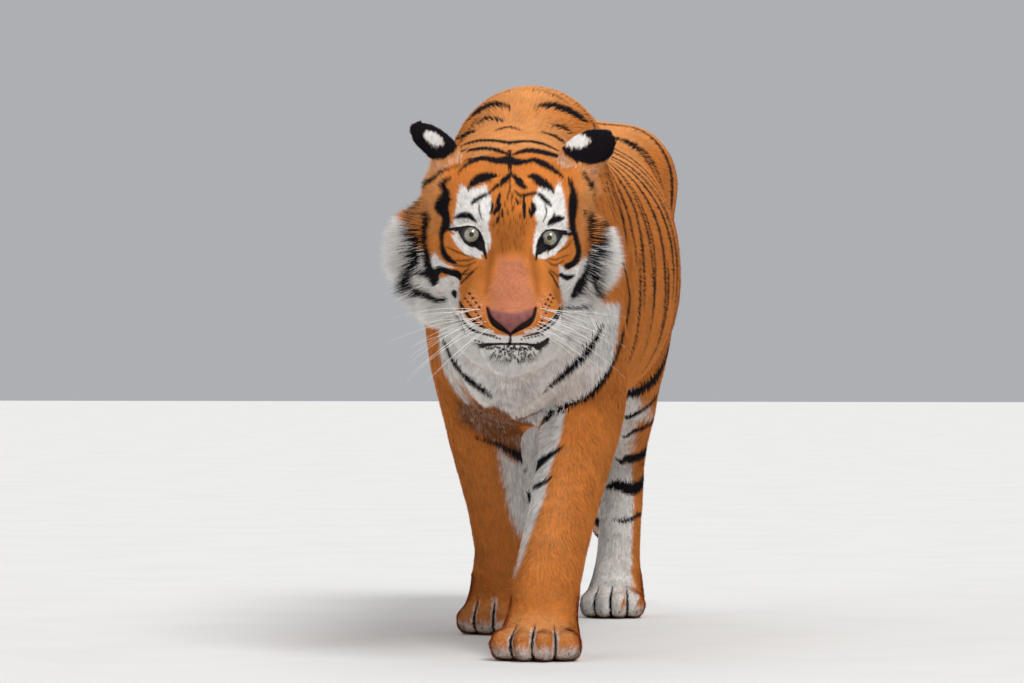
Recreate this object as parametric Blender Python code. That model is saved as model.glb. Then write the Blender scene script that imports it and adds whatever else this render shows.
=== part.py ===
"""A walking tiger at life size, parted into the pieces a person would name.

Metres, +Z up. The tiger faces -Y and stands on Z = 0, and its own left is +X.
The outline is that of the coat, out to the tips of the hair. Each body part is
a few rounded masses; they are fused, smoothed, and then parted with thin cuts.
"""

import math

import bmesh
import bpy
import numpy as np
from mathutils import Matrix, Vector

# Driving dimensions of the body.
WITHERS_HEIGHT = 0.885
BACK_HEIGHT = 0.805
RUMP_HEIGHT = 0.868
BREASTBONE_HEIGHT = 0.345
BELLY_HEIGHT = 0.385
TRUNK_FRONT = -0.235
TRUNK_BACK = 0.985
CHEST_HALF_WIDTH = 0.158
BELLY_HALF_WIDTH = 0.205
FORE_PAW_WIDTH = 0.142
HIND_PAW_WIDTH = 0.124
TAIL_BASE_RADIUS = 0.045
TAIL_TIP_RADIUS = 0.029
TAIL_TIP_SHARE = 0.05
TAIL_TIP_BLUNTNESS = 0.35
TAIL_STEP = 0.030

# The head, which has its own axes: -Y out of the nose, +Z out of the crown, origin between the eyes.
HEAD_PLACE = (0.040, -0.500, 0.631)
HEAD_YAW = math.radians(11)
HEAD_PITCH = math.radians(25)
HEAD_ROLL = math.radians(2.6)
EYE_HALF_SPACING = 0.0575
EYE_DEPTH = 0.008
EYEBALL_RADIUS = 0.0185
SOCKET_PLACE = (0.0575, -0.020, 0.000)
SOCKET_RADII = (0.021, 0.024, 0.0140)
NOSE_PLACE = (0, -0.153, -0.062)
NOSE_RADII = (0.036, 0.016, 0.022)
MOUTH_FRONT = (0, -0.150, -0.108)
MOUTH_SLOPE = math.radians(19)
JAW_LENGTH = 0.185
HEAD_LENGTH = 0.30
HEAD_BACK = 0.150
EAR_ROOT = (0.096, 0.105, 0.086)
EAR_HEIGHT = 0.071
EAR_ROOT_DEPTH = 0.032
EAR_HALF_WIDTH = 0.032
EAR_DEPTH = 0.022
EAR_THICKNESS = 0.013
EAR_LEAN = 54
LEFT_EAR_TWIST = 22
RIGHT_EAR_TWIST = 72

# Where each leg bends and stands. The left foreleg leads and the right hind leg follows it.
LEFT_FORELEG = {
    "blade": (0.050, 0.040, 0.820),
    "shoulder": (0.112, -0.125, 0.560),
    "elbow": (0.104, -0.010, 0.395),
    "wrist": (0.066, -0.235, 0.130),
    "paw": (0.058, -0.290, 0.0),
}
RIGHT_FORELEG = {
    "blade": (-0.062, 0.060, 0.820),
    "shoulder": (-0.094, -0.090, 0.560),
    "elbow": (-0.092, 0.090, 0.415),
    "wrist": (-0.067, 0.290, 0.150),
    "paw": (-0.082, 0.345, 0.0),
}
LEFT_HIND_LEG = {
    "hip": (0.098, 0.780, 0.670),
    "knee": (0.099, 0.640, 0.440),
    "hock": (0.068, 0.905, 0.275),
    "paw": (0.060, 0.830, 0.0),
}
RIGHT_HIND_LEG = {
    "hip": (-0.102, 0.780, 0.670),
    "knee": (-0.126, 0.520, 0.450),
    "hock": (-0.086, 0.745, 0.245),
    "paw": (-0.074, 0.610, 0.0),
}
TAIL_LINE = [
    (0.000, 0.900, 0.780),
    (0.002, 1.000, 0.715),
    (0.004, 1.070, 0.560),
    (0.004, 1.105, 0.380),
    (0.002, 1.160, 0.215),
    (0.000, 1.290, 0.135),
    (0.000, 1.410, 0.165),
]

# Where the body is parted.
FLANK = 0.070
FORE_PAW_REACH = 0.080
HIND_PAW_REACH = 0.066
LEG_FRONT = 0.170
LEG_BACK = 0.122
FOREARM_TOP = 0.332
FORE_WRIST = 0.104
BELOW_HOCK = 0.030
THIGH_FRONT = 0.440
THIGH_BACK = 0.965
SHOULDER_TOP = 0.720
SHANK_TOP = 0.350
HIND_WRIST = 0.088
THIGH_TOP = 0.660
NECK_CUT = -0.205
CHEST_CUT = 0.252
LOIN_CUT = 0.600
TAIL_CUT = 1.000
TAIL_UPPER_END = 0.560
TAIL_LOWER_END = 0.340
TAIL_END_FRONT = 1.215
HEAD_BOX_LOW = (-0.350, -0.400, -0.270)
HEAD_BOX_HIGH = (0.350, HEAD_BACK, 0.400)
JAW_BOX_LOW = (-0.200, -0.100, -0.200)
JAW_BOX_HIGH = (0.200, JAW_LENGTH, 0)

# Colour and roughness of each part's coat, by a word in its name.
COATS = {
    "eye": ((0.42, 0.36, 0.18), 0.15),
    "nose": ((0.42, 0.16, 0.12), 0.45),
    "_ear": ((0.02, 0.02, 0.03), 0.80),
    "jaw": ((0.80, 0.76, 0.72), 0.80),
    "barrel": ((0.70, 0.50, 0.30), 0.80),
    "": ((0.62, 0.24, 0.05), 0.80),
}

# How the solids are made.
SHARP_ANGLE = math.radians(40)
GAP = 0.0004
VOXEL = 0.006
SMOOTH_PASSES = 8
BLEND_PASSES = 45
TRIANGLE_TARGET = 3800
RING_SIDES = 32
RING_STEP = 0.012
MASS_FINENESS = 4
SMALL_FINENESS = 2
EAR_FINENESS = 3
FAR = 1.2


def clear_scene():
    """Starts from an empty scene."""
    for item in list(bpy.data.objects):
        bpy.data.objects.remove(item, do_unlink=True)


def head_matrix():
    """The head's own axes, in the body's."""
    turn = (
        Matrix.Rotation(HEAD_YAW, 4, "Z")
        @ Matrix.Rotation(HEAD_PITCH, 4, "X")
        @ Matrix.Rotation(HEAD_ROLL, 4, "Y")
    )
    return Matrix.Translation(HEAD_PLACE) @ turn


def smooth_rows(rows, step=RING_STEP):
    """A smooth curve through rows of numbers, sampled about once a step along its first three."""
    rows = np.array(rows, float)
    padded = np.vstack([2 * rows[0] - rows[1], rows, 2 * rows[-1] - rows[-2]])
    found = []
    for before, start, end, after in zip(padded, padded[1:], padded[2:], padded[3:]):
        count = max(2, round(np.linalg.norm(end[:3] - start[:3]) / step))
        for t in np.arange(count) / count:
            bend = (2 * before - 5 * start + 4 * end - after) * t * t
            twist = (3 * start - before - 3 * end + after) * t * t * t
            found.append(0.5 * (2 * start + (end - before) * t + bend + twist))
    return np.array(found + [rows[-1]])


def add_tube(mesh, rows, place=Matrix.Identity(4), square=2.0):
    """A closed tube along rows of (x, y, z, half width, half depth). A square over 2 flattens its sides."""
    rows = smooth_rows(rows)
    tangents = np.gradient(rows[:, :3], axis=0)
    rings = []
    for row, tangent in zip(rows, tangents):
        ahead = Vector(tangent).normalized()
        side = (Vector((1, 0, 0)) - ahead * ahead.x).normalized()
        up = ahead.cross(side)
        ring = []
        for turn in np.arange(RING_SIDES) * math.tau / RING_SIDES:
            across, along = math.cos(turn), math.sin(turn)
            across = math.copysign(abs(across) ** (2 / square), across) * row[3]
            along = math.copysign(abs(along) ** (2 / square), along) * row[4]
            point = place @ (Vector(row[:3]) + side * across + up * along)
            ring.append(mesh.verts.new(point))
        rings.append(ring)
    for ring, following in zip(rings, rings[1:]):
        for i in range(RING_SIDES):
            j = (i + 1) % RING_SIDES
            mesh.faces.new((ring[i], ring[j], following[j], following[i]))
    mesh.faces.new(rings[0][::-1])
    mesh.faces.new(rings[-1])


def add_mass(mesh, centre, radii, turn=(0, 0, 0), place=Matrix.Identity(4)):
    """A rounded mass: an ellipsoid with its radii along its own axes, turned by degrees about X, Y, Z."""
    shape = Matrix.Translation(centre)
    for angle, axis in zip(turn, "XYZ"):
        shape = shape @ Matrix.Rotation(math.radians(angle), 4, axis)
    shape = shape @ Matrix.Diagonal((*radii, 1))
    bmesh.ops.create_icosphere(mesh, subdivisions=MASS_FINENESS, radius=1, matrix=place @ shape)


def both(value):
    """The left and the right place of a paired mass, told by its X."""
    x, y, z = value
    return ((x, y, z), (-x, y, z))


def add_trunk(mesh):
    """Barrel, withers, breast and croup. Each row gives Y, top, bottom and half width."""
    stations = [
        (TRUNK_FRONT, 0.650, 0.500, 0.062),
        (TRUNK_FRONT + 0.040, 0.745, 0.415, 0.110),
        (-0.080, 0.800, BREASTBONE_HEIGHT + 0.012, 0.138),
        (0.080, 0.818, BREASTBONE_HEIGHT, CHEST_HALF_WIDTH),
        (0.260, BACK_HEIGHT, BREASTBONE_HEIGHT + 0.004, 0.180),
        (0.440, BACK_HEIGHT, BELLY_HEIGHT - 0.018, BELLY_HALF_WIDTH),
        (0.600, BACK_HEIGHT + 0.022, BELLY_HEIGHT + 0.012, 0.194),
        (0.740, RUMP_HEIGHT - 0.010, 0.450, 0.168),
        (0.860, RUMP_HEIGHT - 0.014, 0.540, 0.140),
        (0.940, 0.824, 0.610, 0.100),
        (TRUNK_BACK, 0.780, 0.670, 0.045),
    ]
    rows = [(0, y, (top + low) / 2, half, (top - low) / 2) for y, top, low, half in stations]
    add_tube(mesh, rows, square=2.25)
    add_mass(mesh, (0.008, 0.040, WITHERS_HEIGHT - 0.112), (0.118, 0.205, 0.112), (-4, 0, 0))
    add_mass(mesh, (0.000, 0.770, RUMP_HEIGHT - 0.118), (0.120, 0.190, 0.118), (-4, 0, 0))
    for hip in both((0.082, 0.765, RUMP_HEIGHT - 0.118)):
        add_mass(mesh, hip, (0.094, 0.175, 0.108), (-4, 0, 0))
    add_mass(mesh, (0.000, -0.140, 0.490), (0.092, 0.110, 0.135), (-18, 0, 0))


def add_neck(mesh):
    """A thick neck carried level, with the soft throat under it."""
    rows = [
        (0.000, 0.040, 0.655, 0.125, 0.175),
        (0.002, -0.110, 0.650, 0.128, 0.178),
        (0.012, -0.230, 0.645, 0.124, 0.156),
        (0.026, -0.340, 0.650, 0.116, 0.132),
        (0.034, -0.430, 0.655, 0.092, 0.105),
    ]
    add_tube(mesh, rows, square=2.2)
    add_mass(mesh, (0.012, -0.250, 0.530), (0.100, 0.125, 0.095), (20, 0, 0))


def add_head(mesh):
    """Skull, muzzle, cheeks and ruff, on the head's own axes."""
    place = head_matrix()
    profile = [
        (-0.150, -0.044, -0.112, 0.038),
        (-0.128, -0.030, -0.140, 0.052),
        (-0.090, -0.014, -0.156, 0.060),
        (-0.046, 0.002, -0.162, 0.064),
        (-0.008, 0.018, -0.165, 0.082),
        (0.032, 0.042, -0.166, 0.110),
        (0.078, 0.070, -0.166, 0.135),
        (0.122, 0.086, -0.156, 0.140),
        (0.165, 0.084, -0.130, 0.118),
    ]
    rows = [(0, y, (top + low) / 2, half, (top - low) / 2) for y, top, low, half in profile]
    add_tube(mesh, rows, place, square=2.25)
    add_mass(mesh, (0, -0.080, -0.044), (0.037, 0.085, 0.031), (20, 0, 0), place)
    add_mass(mesh, (0, -0.112, -0.138), (0.038, 0.036, 0.032), place=place)
    for pad in both((0.038, -0.100, -0.078)):
        add_mass(mesh, pad, (0.039, 0.053, 0.038), (14, 0, 0), place)
    for brow in both((0.050, 0.036, 0.016)):
        add_mass(mesh, brow, (0.040, 0.042, 0.022), (-20, 0, 0), place)
    for cheekbone in both((0.068, 0.034, -0.048)):
        add_mass(mesh, cheekbone, (0.042, 0.068, 0.036), (12, 0, 0), place)
    for temple in both((0.099, 0.092, 0.036)):
        add_mass(mesh, temple, (0.036, 0.046, 0.046), place=place)
    for ruff in both((0.117, 0.106, -0.068)):
        add_mass(mesh, ruff, (0.056, 0.054, 0.088), place=place)
    for lock in both((0.086, 0.085, -0.136)):
        add_mass(mesh, lock, (0.052, 0.050, 0.050), place=place)


def add_foreleg(mesh, leg):
    """Shoulder blade, upper arm, forearm and paw."""
    blade, shoulder, elbow, wrist, paw = (Vector(leg[k]) for k in leg)
    add_tube(
        mesh,
        [
            (*blade, 0.040, 0.070),
            (*blade.lerp(shoulder, 0.40), 0.056, 0.125),
            (*blade.lerp(shoulder, 0.80), 0.060, 0.125),
            (*(shoulder + Vector((0, 0.01, -0.05))), 0.052, 0.085),
        ],
    )
    add_tube(
        mesh,
        [
            (*shoulder, 0.056, 0.100),
            (*shoulder.lerp(elbow, 0.55), 0.062, 0.104),
            (*elbow, 0.061, 0.090),
            (*elbow.lerp(wrist, 0.30), 0.059, 0.076),
            (*elbow.lerp(wrist, 0.68), 0.053, 0.060),
            (*wrist, 0.053, 0.054),
            (*(wrist * 0.45 + (paw + Vector((0, 0.010, 0.040))) * 0.55), 0.054, 0.054),
            (*(paw + Vector((0, 0.008, 0.034))), 0.057, 0.050),
        ],
    )
    add_mass(mesh, elbow + Vector((0, 0.060, 0.020)), (0.044, 0.055, 0.062))
    add_paw(mesh, paw, FORE_PAW_WIDTH)


def add_hind_leg(mesh, leg):
    """Thigh, shank, hock, foot and paw."""
    hip, knee, hock, paw = (Vector(leg[k]) for k in leg)
    side = math.copysign(1, knee.x)
    buttock = hip + Vector((-0.016 * side, 0.075, -0.060))
    add_tube(
        mesh,
        [
            (*(hip + Vector((0, 0, 0.07))), 0.048, 0.110),
            (*hip, 0.070, 0.158),
            (*hip.lerp(knee, 0.50), 0.076, 0.155),
            (*knee, 0.066, 0.108),
            (*(knee + Vector((0, 0.012, -0.055))), 0.052, 0.074),
        ],
    )
    add_tube(
        mesh,
        [
            (*buttock, 0.056, 0.080),
            (*buttock.lerp(hock, 0.35), 0.060, 0.085),
            (*buttock.lerp(hock, 0.70), 0.048, 0.056),
            (*hock, 0.038, 0.046),
        ],
    )
    ball = paw + Vector((0, 0.022, 0.042))
    add_tube(
        mesh,
        [
            (*knee, 0.060, 0.096),
            (*knee.lerp(hock, 0.40), 0.056, 0.078),
            (*knee.lerp(hock, 0.80), 0.043, 0.054),
            (*hock, 0.041, 0.048),
            (*hock.lerp(ball, 0.35), 0.041, 0.043),
            (*hock.lerp(ball, 0.75), 0.043, 0.043),
            (*ball, 0.048, 0.046),
        ],
    )
    add_mass(mesh, hock + Vector((0, 0.022, 0.016)), (0.030, 0.030, 0.046), (-25, 0, 0))
    add_paw(mesh, paw, HIND_PAW_WIDTH)


def add_paw(mesh, paw, width):
    """A broad pad and four toes. They reach a little below the floor, where the sole is cut flat."""
    add_mass(mesh, paw + Vector((0, 0.010, 0.034)), (0.44 * width, 0.076, 0.044))
    toe_width = width * 0.168
    for place, reach in ((-1.5, 0.044), (-0.5, 0.066), (0.5, 0.068), (1.5, 0.048)):
        across = place * width * 0.232
        radii = (toe_width, 0.037, 0.030)
        add_mass(mesh, paw + Vector((across, -reach, 0.022)), radii, (-14, 0, 6 * place))


def tail_radius(share):
    """The tail thins evenly and ends in a round tip."""
    into_tip = max(0.0, (share - 1) / TAIL_TIP_SHARE + 1)
    rounding = max(math.sqrt(max(0.0, 1 - into_tip**2)), TAIL_TIP_BLUNTNESS)
    return (TAIL_BASE_RADIUS + (TAIL_TIP_RADIUS - TAIL_BASE_RADIUS) * share) * rounding


def add_tail(mesh):
    """A round tube down the tail's line."""
    line = smooth_rows(TAIL_LINE, step=TAIL_STEP)
    shares = np.arange(len(line)) / (len(line) - 1)
    add_tube(mesh, [(*p, tail_radius(t), tail_radius(t)) for p, t in zip(line, shares)])


def new_object(name, mesh_data):
    """An object in the scene that holds some mesh data."""
    item = bpy.data.objects.new(name, mesh_data)
    bpy.context.scene.collection.objects.link(item)
    return item


def from_bmesh(name, mesh):
    """An object made of a finished bmesh, with its faces pointing out."""
    bmesh.ops.recalc_face_normals(mesh, faces=mesh.faces)
    data = bpy.data.meshes.new(name)
    mesh.to_mesh(data)
    mesh.free()
    return new_object(name, data)


def as_cutter(item):
    """Marks an object as a cutter, which is no part of the model."""
    item.hide_render = True
    item.display_type = "WIRE"
    return item


def settle(item):
    """Applies an object's modifiers in order."""
    graph = bpy.context.evaluated_depsgraph_get()
    data = bpy.data.meshes.new_from_object(item.evaluated_get(graph))
    item.modifiers.clear()
    item.data = data
    return item


def boolean(item, cutter, operation):
    """Cuts an object and drops the cutter."""
    cut = item.modifiers.new(operation.title(), "BOOLEAN")
    cut.operation = operation
    cut.solver = "EXACT"
    cut.object = cutter
    settle(item)
    bpy.data.objects.remove(cutter, do_unlink=True)


def box(low, high, place):
    """A box cutter between two corners."""
    mesh = bmesh.new()
    low, high = Vector(low), Vector(high)
    shape = Matrix.Translation((low + high) / 2) @ Matrix.Diagonal((*(high - low), 1))
    bmesh.ops.create_cube(mesh, size=1, matrix=place @ shape)
    return as_cutter(from_bmesh("cutter", mesh))


def part_off(item, name, low, high, place=Matrix.Identity(4)):
    """Takes what lies between two corners off an object, as a new one with a thin gap to what is left."""
    piece = new_object(name, item.data.copy())
    rim = Vector((GAP, GAP, GAP))
    boolean(piece, box(Vector(low) + rim, Vector(high) - rim, place), "INTERSECT")
    boolean(item, box(low, high, place), "DIFFERENCE")
    return piece


def let_in(piece, items):
    """Makes room for a piece in the objects around it, with a thin gap."""
    for item in items:
        room = as_cutter(new_object("room", piece.data.copy()))
        swell = room.modifiers.new("Swell", "DISPLACE")
        swell.strength = GAP
        swell.mid_level = 0
        boolean(item, settle(room), "DIFFERENCE")


def rounded(name, centre, radii, place, fineness=SMALL_FINENESS):
    """An ellipsoid on the axes of a place."""
    mesh = bmesh.new()
    shape = place @ Matrix.Translation(centre) @ Matrix.Diagonal((*radii, 1))
    bmesh.ops.create_icosphere(mesh, subdivisions=fineness, radius=1, matrix=shape)
    return from_bmesh(name, mesh)


def ear_matrix(side):
    """An ear's own axes: +Z to its tip, -Y out of its rounded back. It leans out, and turns its back up."""
    lean = Matrix.Rotation(math.radians(EAR_LEAN * side), 4, "Y")
    turn = -LEFT_EAR_TWIST if side > 0 else RIGHT_EAR_TWIST
    twist = Matrix.Rotation(math.radians(turn), 4, "Z")
    root = Matrix.Translation((EAR_ROOT[0] * side, EAR_ROOT[1], EAR_ROOT[2]))
    return head_matrix() @ root @ lean @ twist


def ear_form(name, side, spare=0):
    """An ear's whole leaf-shaped form, before it is hollowed, with some room to spare round it."""
    radii = [r + spare for r in (EAR_HALF_WIDTH, EAR_DEPTH, (EAR_HEIGHT + EAR_ROOT_DEPTH) / 2)]
    centre = (0, 0, (EAR_HEIGHT - EAR_ROOT_DEPTH) / 2)
    return rounded(name, centre, radii, ear_matrix(side), EAR_FINENESS)


def build_ear(name, side):
    """A furred cup: a leaf-shaped shell with its hollow behind."""
    ear = ear_form(name, side)
    radii = (EAR_HALF_WIDTH, EAR_DEPTH, (EAR_HEIGHT + EAR_ROOT_DEPTH) / 2)
    hollow_radii = [r - EAR_THICKNESS * 0.5 for r in radii]
    hollow_centre = (0, EAR_THICKNESS, (EAR_HEIGHT - EAR_ROOT_DEPTH) / 2 + EAR_THICKNESS * 0.3)
    hollow = as_cutter(rounded("hollow", hollow_centre, hollow_radii, ear_matrix(side)))
    boolean(ear, hollow, "DIFFERENCE")
    return ear


def build_body():
    """Every mass of flesh, fused, smoothed and thinned to the triangles that its shape needs."""
    mesh = bmesh.new()
    add_trunk(mesh)
    add_neck(mesh)
    add_head(mesh)
    for leg in (LEFT_FORELEG, RIGHT_FORELEG):
        add_foreleg(mesh, leg)
    for leg in (LEFT_HIND_LEG, RIGHT_HIND_LEG):
        add_hind_leg(mesh, leg)
    add_tail(mesh)
    body = from_bmesh("body", mesh)
    fuse = body.modifiers.new("Fuse", "REMESH")
    fuse.mode = "VOXEL"
    fuse.voxel_size = VOXEL
    settle(body)
    group = body.vertex_groups.new(name="behind_the_face")
    into_head = head_matrix().inverted()
    for vertex in body.data.vertices:
        behind = (into_head @ vertex.co).y / HEAD_LENGTH
        group.add([vertex.index], min(1, max(0, behind)), "REPLACE")
    even = body.modifiers.new("Even", "SMOOTH")
    even.iterations = SMOOTH_PASSES
    blend = body.modifiers.new("Blend", "SMOOTH")
    blend.iterations = BLEND_PASSES
    blend.vertex_group = group.name
    settle(body)
    thin = body.modifiers.new("Thin", "DECIMATE")
    thin.ratio = TRIANGLE_TARGET / (2 * len(body.data.polygons))
    settle(body)
    for socket in both(SOCKET_PLACE):
        hollow = as_cutter(rounded("socket", socket, SOCKET_RADII, head_matrix()))
        boolean(body, hollow, "DIFFERENCE")
    sole = box((-FAR, -FAR, -FAR), (FAR, 2 * FAR, 0), Matrix.Identity(4))
    boolean(body, sole, "DIFFERENCE")
    return body


def part_body(body):
    """The body's named parts. Each line takes one off with a box between two corners."""
    place = head_matrix()
    mouth = place @ Matrix.Translation(MOUTH_FRONT) @ Matrix.Rotation(-MOUTH_SLOPE, 4, "X")
    pieces = [body]

    def off(item, name, low, high, frame=Matrix.Identity(4)):
        piece = part_off(item, name, low, high, frame)
        pieces.append(piece)
        return piece

    head = off(body, "head", HEAD_BOX_LOW, HEAD_BOX_HIGH, place)
    off(head, "lower_jaw", JAW_BOX_LOW, JAW_BOX_HIGH, mouth)

    tail = off(body, "tail_root", (-FAR, TAIL_CUT, 0), (FAR, 2 * FAR, FAR))
    middle = off(tail, "tail_upper", (-FAR, 0, 0), (FAR, 2 * FAR, TAIL_UPPER_END))
    lower = off(middle, "tail_lower", (-FAR, 0, 0), (FAR, 2 * FAR, TAIL_LOWER_END))
    off(lower, "tail_end", (-FAR, TAIL_END_FRONT, 0), (FAR, 2 * FAR, FAR))

    for name, side in (("left", 1), ("right", -1)):
        flank, beyond = sorted((FLANK * side, FAR * side))
        leg = LEFT_FORELEG if side > 0 else RIGHT_FORELEG
        inner, outer = sorted((leg["paw"][0] - FORE_PAW_REACH * side, FAR * side))
        front = min(leg["paw"][1], leg["elbow"][1]) - LEG_FRONT
        back = max(leg["paw"][1], leg["elbow"][1]) + LEG_BACK
        forearm = off(body, f"{name}_forearm", (inner, front, -1), (outer, back, FOREARM_TOP))
        off(forearm, f"{name}_fore_paw", (-FAR, -FAR, -1), (FAR, FAR, FORE_WRIST))
        back = leg["elbow"][1] + LEG_BACK
        off(body, f"{name}_shoulder", (flank, -FAR, 0), (beyond, back, SHOULDER_TOP))

        leg = LEFT_HIND_LEG if side > 0 else RIGHT_HIND_LEG
        inner, outer = sorted((leg["paw"][0] - HIND_PAW_REACH * side, FAR * side))
        front = leg["knee"][1] - LEG_FRONT
        shank = off(body, f"{name}_shank", (inner, front, -1), (outer, TAIL_CUT, SHANK_TOP))
        foot_top = leg["hock"][2] - BELOW_HOCK
        foot = off(shank, f"{name}_hind_foot", (-FAR, 0, -1), (FAR, FAR, foot_top))
        off(foot, f"{name}_hind_paw", (-FAR, 0, -1), (FAR, FAR, HIND_WRIST))
        off(body, f"{name}_thigh", (flank, THIGH_FRONT, 0), (beyond, THIGH_BACK, THIGH_TOP))

    off(body, "neck", (-FAR, -FAR, 0), (FAR, NECK_CUT, FAR))
    off(body, "chest", (-FAR, -FAR, 0), (FAR, CHEST_CUT, FAR))
    off(body, "barrel", (-FAR, -FAR, 0), (FAR, LOIN_CUT, FAR))
    body.name = "hindquarters"
    return pieces


def material(name, colour, roughness):
    """A plain coat colour."""
    made = bpy.data.materials.new(name)
    made.use_nodes = True
    shader = made.node_tree.nodes["Principled BSDF"]
    shader.inputs["Base Color"].default_value = (*colour, 1)
    shader.inputs["Roughness"].default_value = roughness
    shader.inputs["Metallic"].default_value = 0
    return made


def finish(items):
    """Gives each piece its coat, smooth shading, and the common origin under the middle of the body."""
    corners = [Vector(v.co) for item in items for v in item.data.vertices]
    low = Vector([min(c[i] for c in corners) for i in range(3)])
    high = Vector([max(c[i] for c in corners) for i in range(3)])
    shift = Matrix.Translation((-(low.x + high.x) / 2, -(low.y + high.y) / 2, -low.z))
    for item in items:
        colour, roughness = next((look for key, look in COATS.items() if key in item.name), COATS[""])
        item.data.materials.clear()
        item.data.materials.append(material(item.name, colour, roughness))
        item.data.transform(shift)
        item.data.shade_smooth()
        item.data.set_sharp_from_angle(angle=SHARP_ANGLE)


def main():
    """Builds the body whole, sets in eyes, ears and nose, and parts it."""
    clear_scene()
    body = build_body()
    place = head_matrix()
    eyes = [
        rounded(name, (EYE_HALF_SPACING * side, EYE_DEPTH, 0), [EYEBALL_RADIUS] * 3, place)
        for name, side in (("left_eye", 1), ("right_eye", -1))
    ]
    nose = rounded("nose", NOSE_PLACE, NOSE_RADII, place)
    for piece in (*eyes, nose):
        let_in(piece, [body])
    for side in (1, -1):
        boolean(body, as_cutter(ear_form("room", side, 2 * GAP)), "DIFFERENCE")
    small = [*eyes, build_ear("left_ear", 1), build_ear("right_ear", -1), nose]
    finish(part_body(body) + small)


main()
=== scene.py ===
import math

import bmesh
import bpy
import numpy as np
from bpy.props import FloatProperty, FloatVectorProperty, IntProperty, PointerProperty
from mathutils import Matrix, Vector
from mathutils.bvhtree import BVHTree


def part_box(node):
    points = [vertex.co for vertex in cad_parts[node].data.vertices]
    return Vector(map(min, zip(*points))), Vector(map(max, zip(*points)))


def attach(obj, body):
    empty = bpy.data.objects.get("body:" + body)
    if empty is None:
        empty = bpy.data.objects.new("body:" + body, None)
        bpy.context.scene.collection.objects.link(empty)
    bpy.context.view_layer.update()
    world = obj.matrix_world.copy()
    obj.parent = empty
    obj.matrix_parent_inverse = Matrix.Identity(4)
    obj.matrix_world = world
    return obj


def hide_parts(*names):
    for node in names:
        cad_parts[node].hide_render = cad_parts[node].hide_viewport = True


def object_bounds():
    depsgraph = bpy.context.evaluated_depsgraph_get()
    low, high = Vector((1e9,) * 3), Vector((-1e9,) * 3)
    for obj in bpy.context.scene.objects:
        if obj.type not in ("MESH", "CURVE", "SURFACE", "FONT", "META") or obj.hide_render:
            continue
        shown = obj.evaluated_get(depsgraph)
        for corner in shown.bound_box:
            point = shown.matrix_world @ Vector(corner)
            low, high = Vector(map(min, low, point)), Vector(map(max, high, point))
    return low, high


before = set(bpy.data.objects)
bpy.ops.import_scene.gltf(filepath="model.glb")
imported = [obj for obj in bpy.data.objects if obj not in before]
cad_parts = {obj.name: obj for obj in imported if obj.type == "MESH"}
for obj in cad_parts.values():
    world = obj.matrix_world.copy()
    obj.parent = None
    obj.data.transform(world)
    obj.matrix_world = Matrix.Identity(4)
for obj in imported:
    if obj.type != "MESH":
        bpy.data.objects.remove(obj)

bl_info = {
    "name": "Walking tiger",
    "version": (1, 0, 0),
    "blender": (4, 5, 0),
    "location": "View3D > Sidebar > Tiger",
    "description": "Skin, coat, eyes, whiskers and stage of a life-size walking tiger",
    "category": "Object",
}

# ---------------------------------------------------------------- the frame

CAD_LOW, CAD_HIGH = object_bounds()
NODES = sorted(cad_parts)
EYES = ("left_eye", "right_eye")
FLESH = [name for name in NODES if name not in EYES]
MM = 0.001

# The head's own axes, as the solids have them: X to its left, -Y out of the nose, Z out of the crown.
EYE_TO_NOSE = (0.161, 0.062)
EYE_RADIUS = 0.0185
IRIS_RADIUS = 0.0113

# The way the tiger looks, which is also the way it is shown, and the place it is shown from.
GAZE_TURN = math.radians(7)
GAZE = Vector((math.sin(GAZE_TURN), -math.cos(GAZE_TURN), 0))
ACROSS = Vector((math.cos(GAZE_TURN), math.sin(GAZE_TURN), 0))
VIEW_HEIGHT = 0.48
VIEW_DISTANCE = 7.5
VIEW_OFFSET = 0.019
WITHERS_Y = -0.389


def middle(name):
    """The centre of a node's box."""
    low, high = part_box(name)
    return (low + high) / 2


def side_of(name):
    """1 for a node of the tiger's left side and -1 for one of its right."""
    return 1 if name.startswith("left") else -1


def head_axes():
    """The head's own frame as a matrix, worked out from the eyes and the nose."""
    left, right, nose = middle("left_eye"), middle("right_eye"), middle("nose")
    across = (left - right).normalized()
    eyes = (left + right) / 2
    ahead = nose - eyes
    ahead = (ahead - across * ahead.dot(across)).normalized()
    below = across.cross(ahead)
    run, drop = Vector(EYE_TO_NOSE).normalized()
    back = below * drop - ahead * run
    up = -ahead * drop - below * run
    return Matrix.Translation(eyes) @ Matrix((across, back, up)).transposed().to_4x4()


HEAD = head_axes()
VIEWPOINT = Vector((0, WITHERS_Y, VIEW_HEIGHT)) + GAZE * VIEW_DISTANCE - ACROSS * VIEW_OFFSET
FACE = HEAD.to_translation()

# The same as rows of numbers, for arithmetic on many points at once.
AIM_ROW, ACROSS_ROW, VIEW_ROW, FACE_ROW = (np.array(v) for v in (GAZE, ACROSS, VIEWPOINT, FACE))


# ---------------------------------------------------------------- numbers on meshes

def smooth_step(low, high, value):
    """0 at low, 1 at high, easing at both ends."""
    t = np.clip((value - low) / (high - low), 0, 1)
    return t * t * (3 - 2 * t)


def unit(vectors):
    return vectors / np.maximum(np.linalg.norm(vectors, axis=-1, keepdims=True), 1e-9)


def curve_through(points, steps=5):
    """Rows of numbers on a smooth curve through the given rows."""
    rows = np.array(points, float)
    padded = np.vstack([2 * rows[0] - rows[1], rows, 2 * rows[-1] - rows[-2]])
    found = []
    for before, start, end, after in zip(padded, padded[1:], padded[2:], padded[3:]):
        t = (np.arange(steps) / steps)[:, None]
        bend = (2 * before - 5 * start + 4 * end - after) * t**2
        twist = (3 * start - before - 3 * end + after) * t**3
        found.append(0.5 * (2 * start + (end - before) * t + bend + twist))
    return np.vstack([*found, rows[-1:]])


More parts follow.
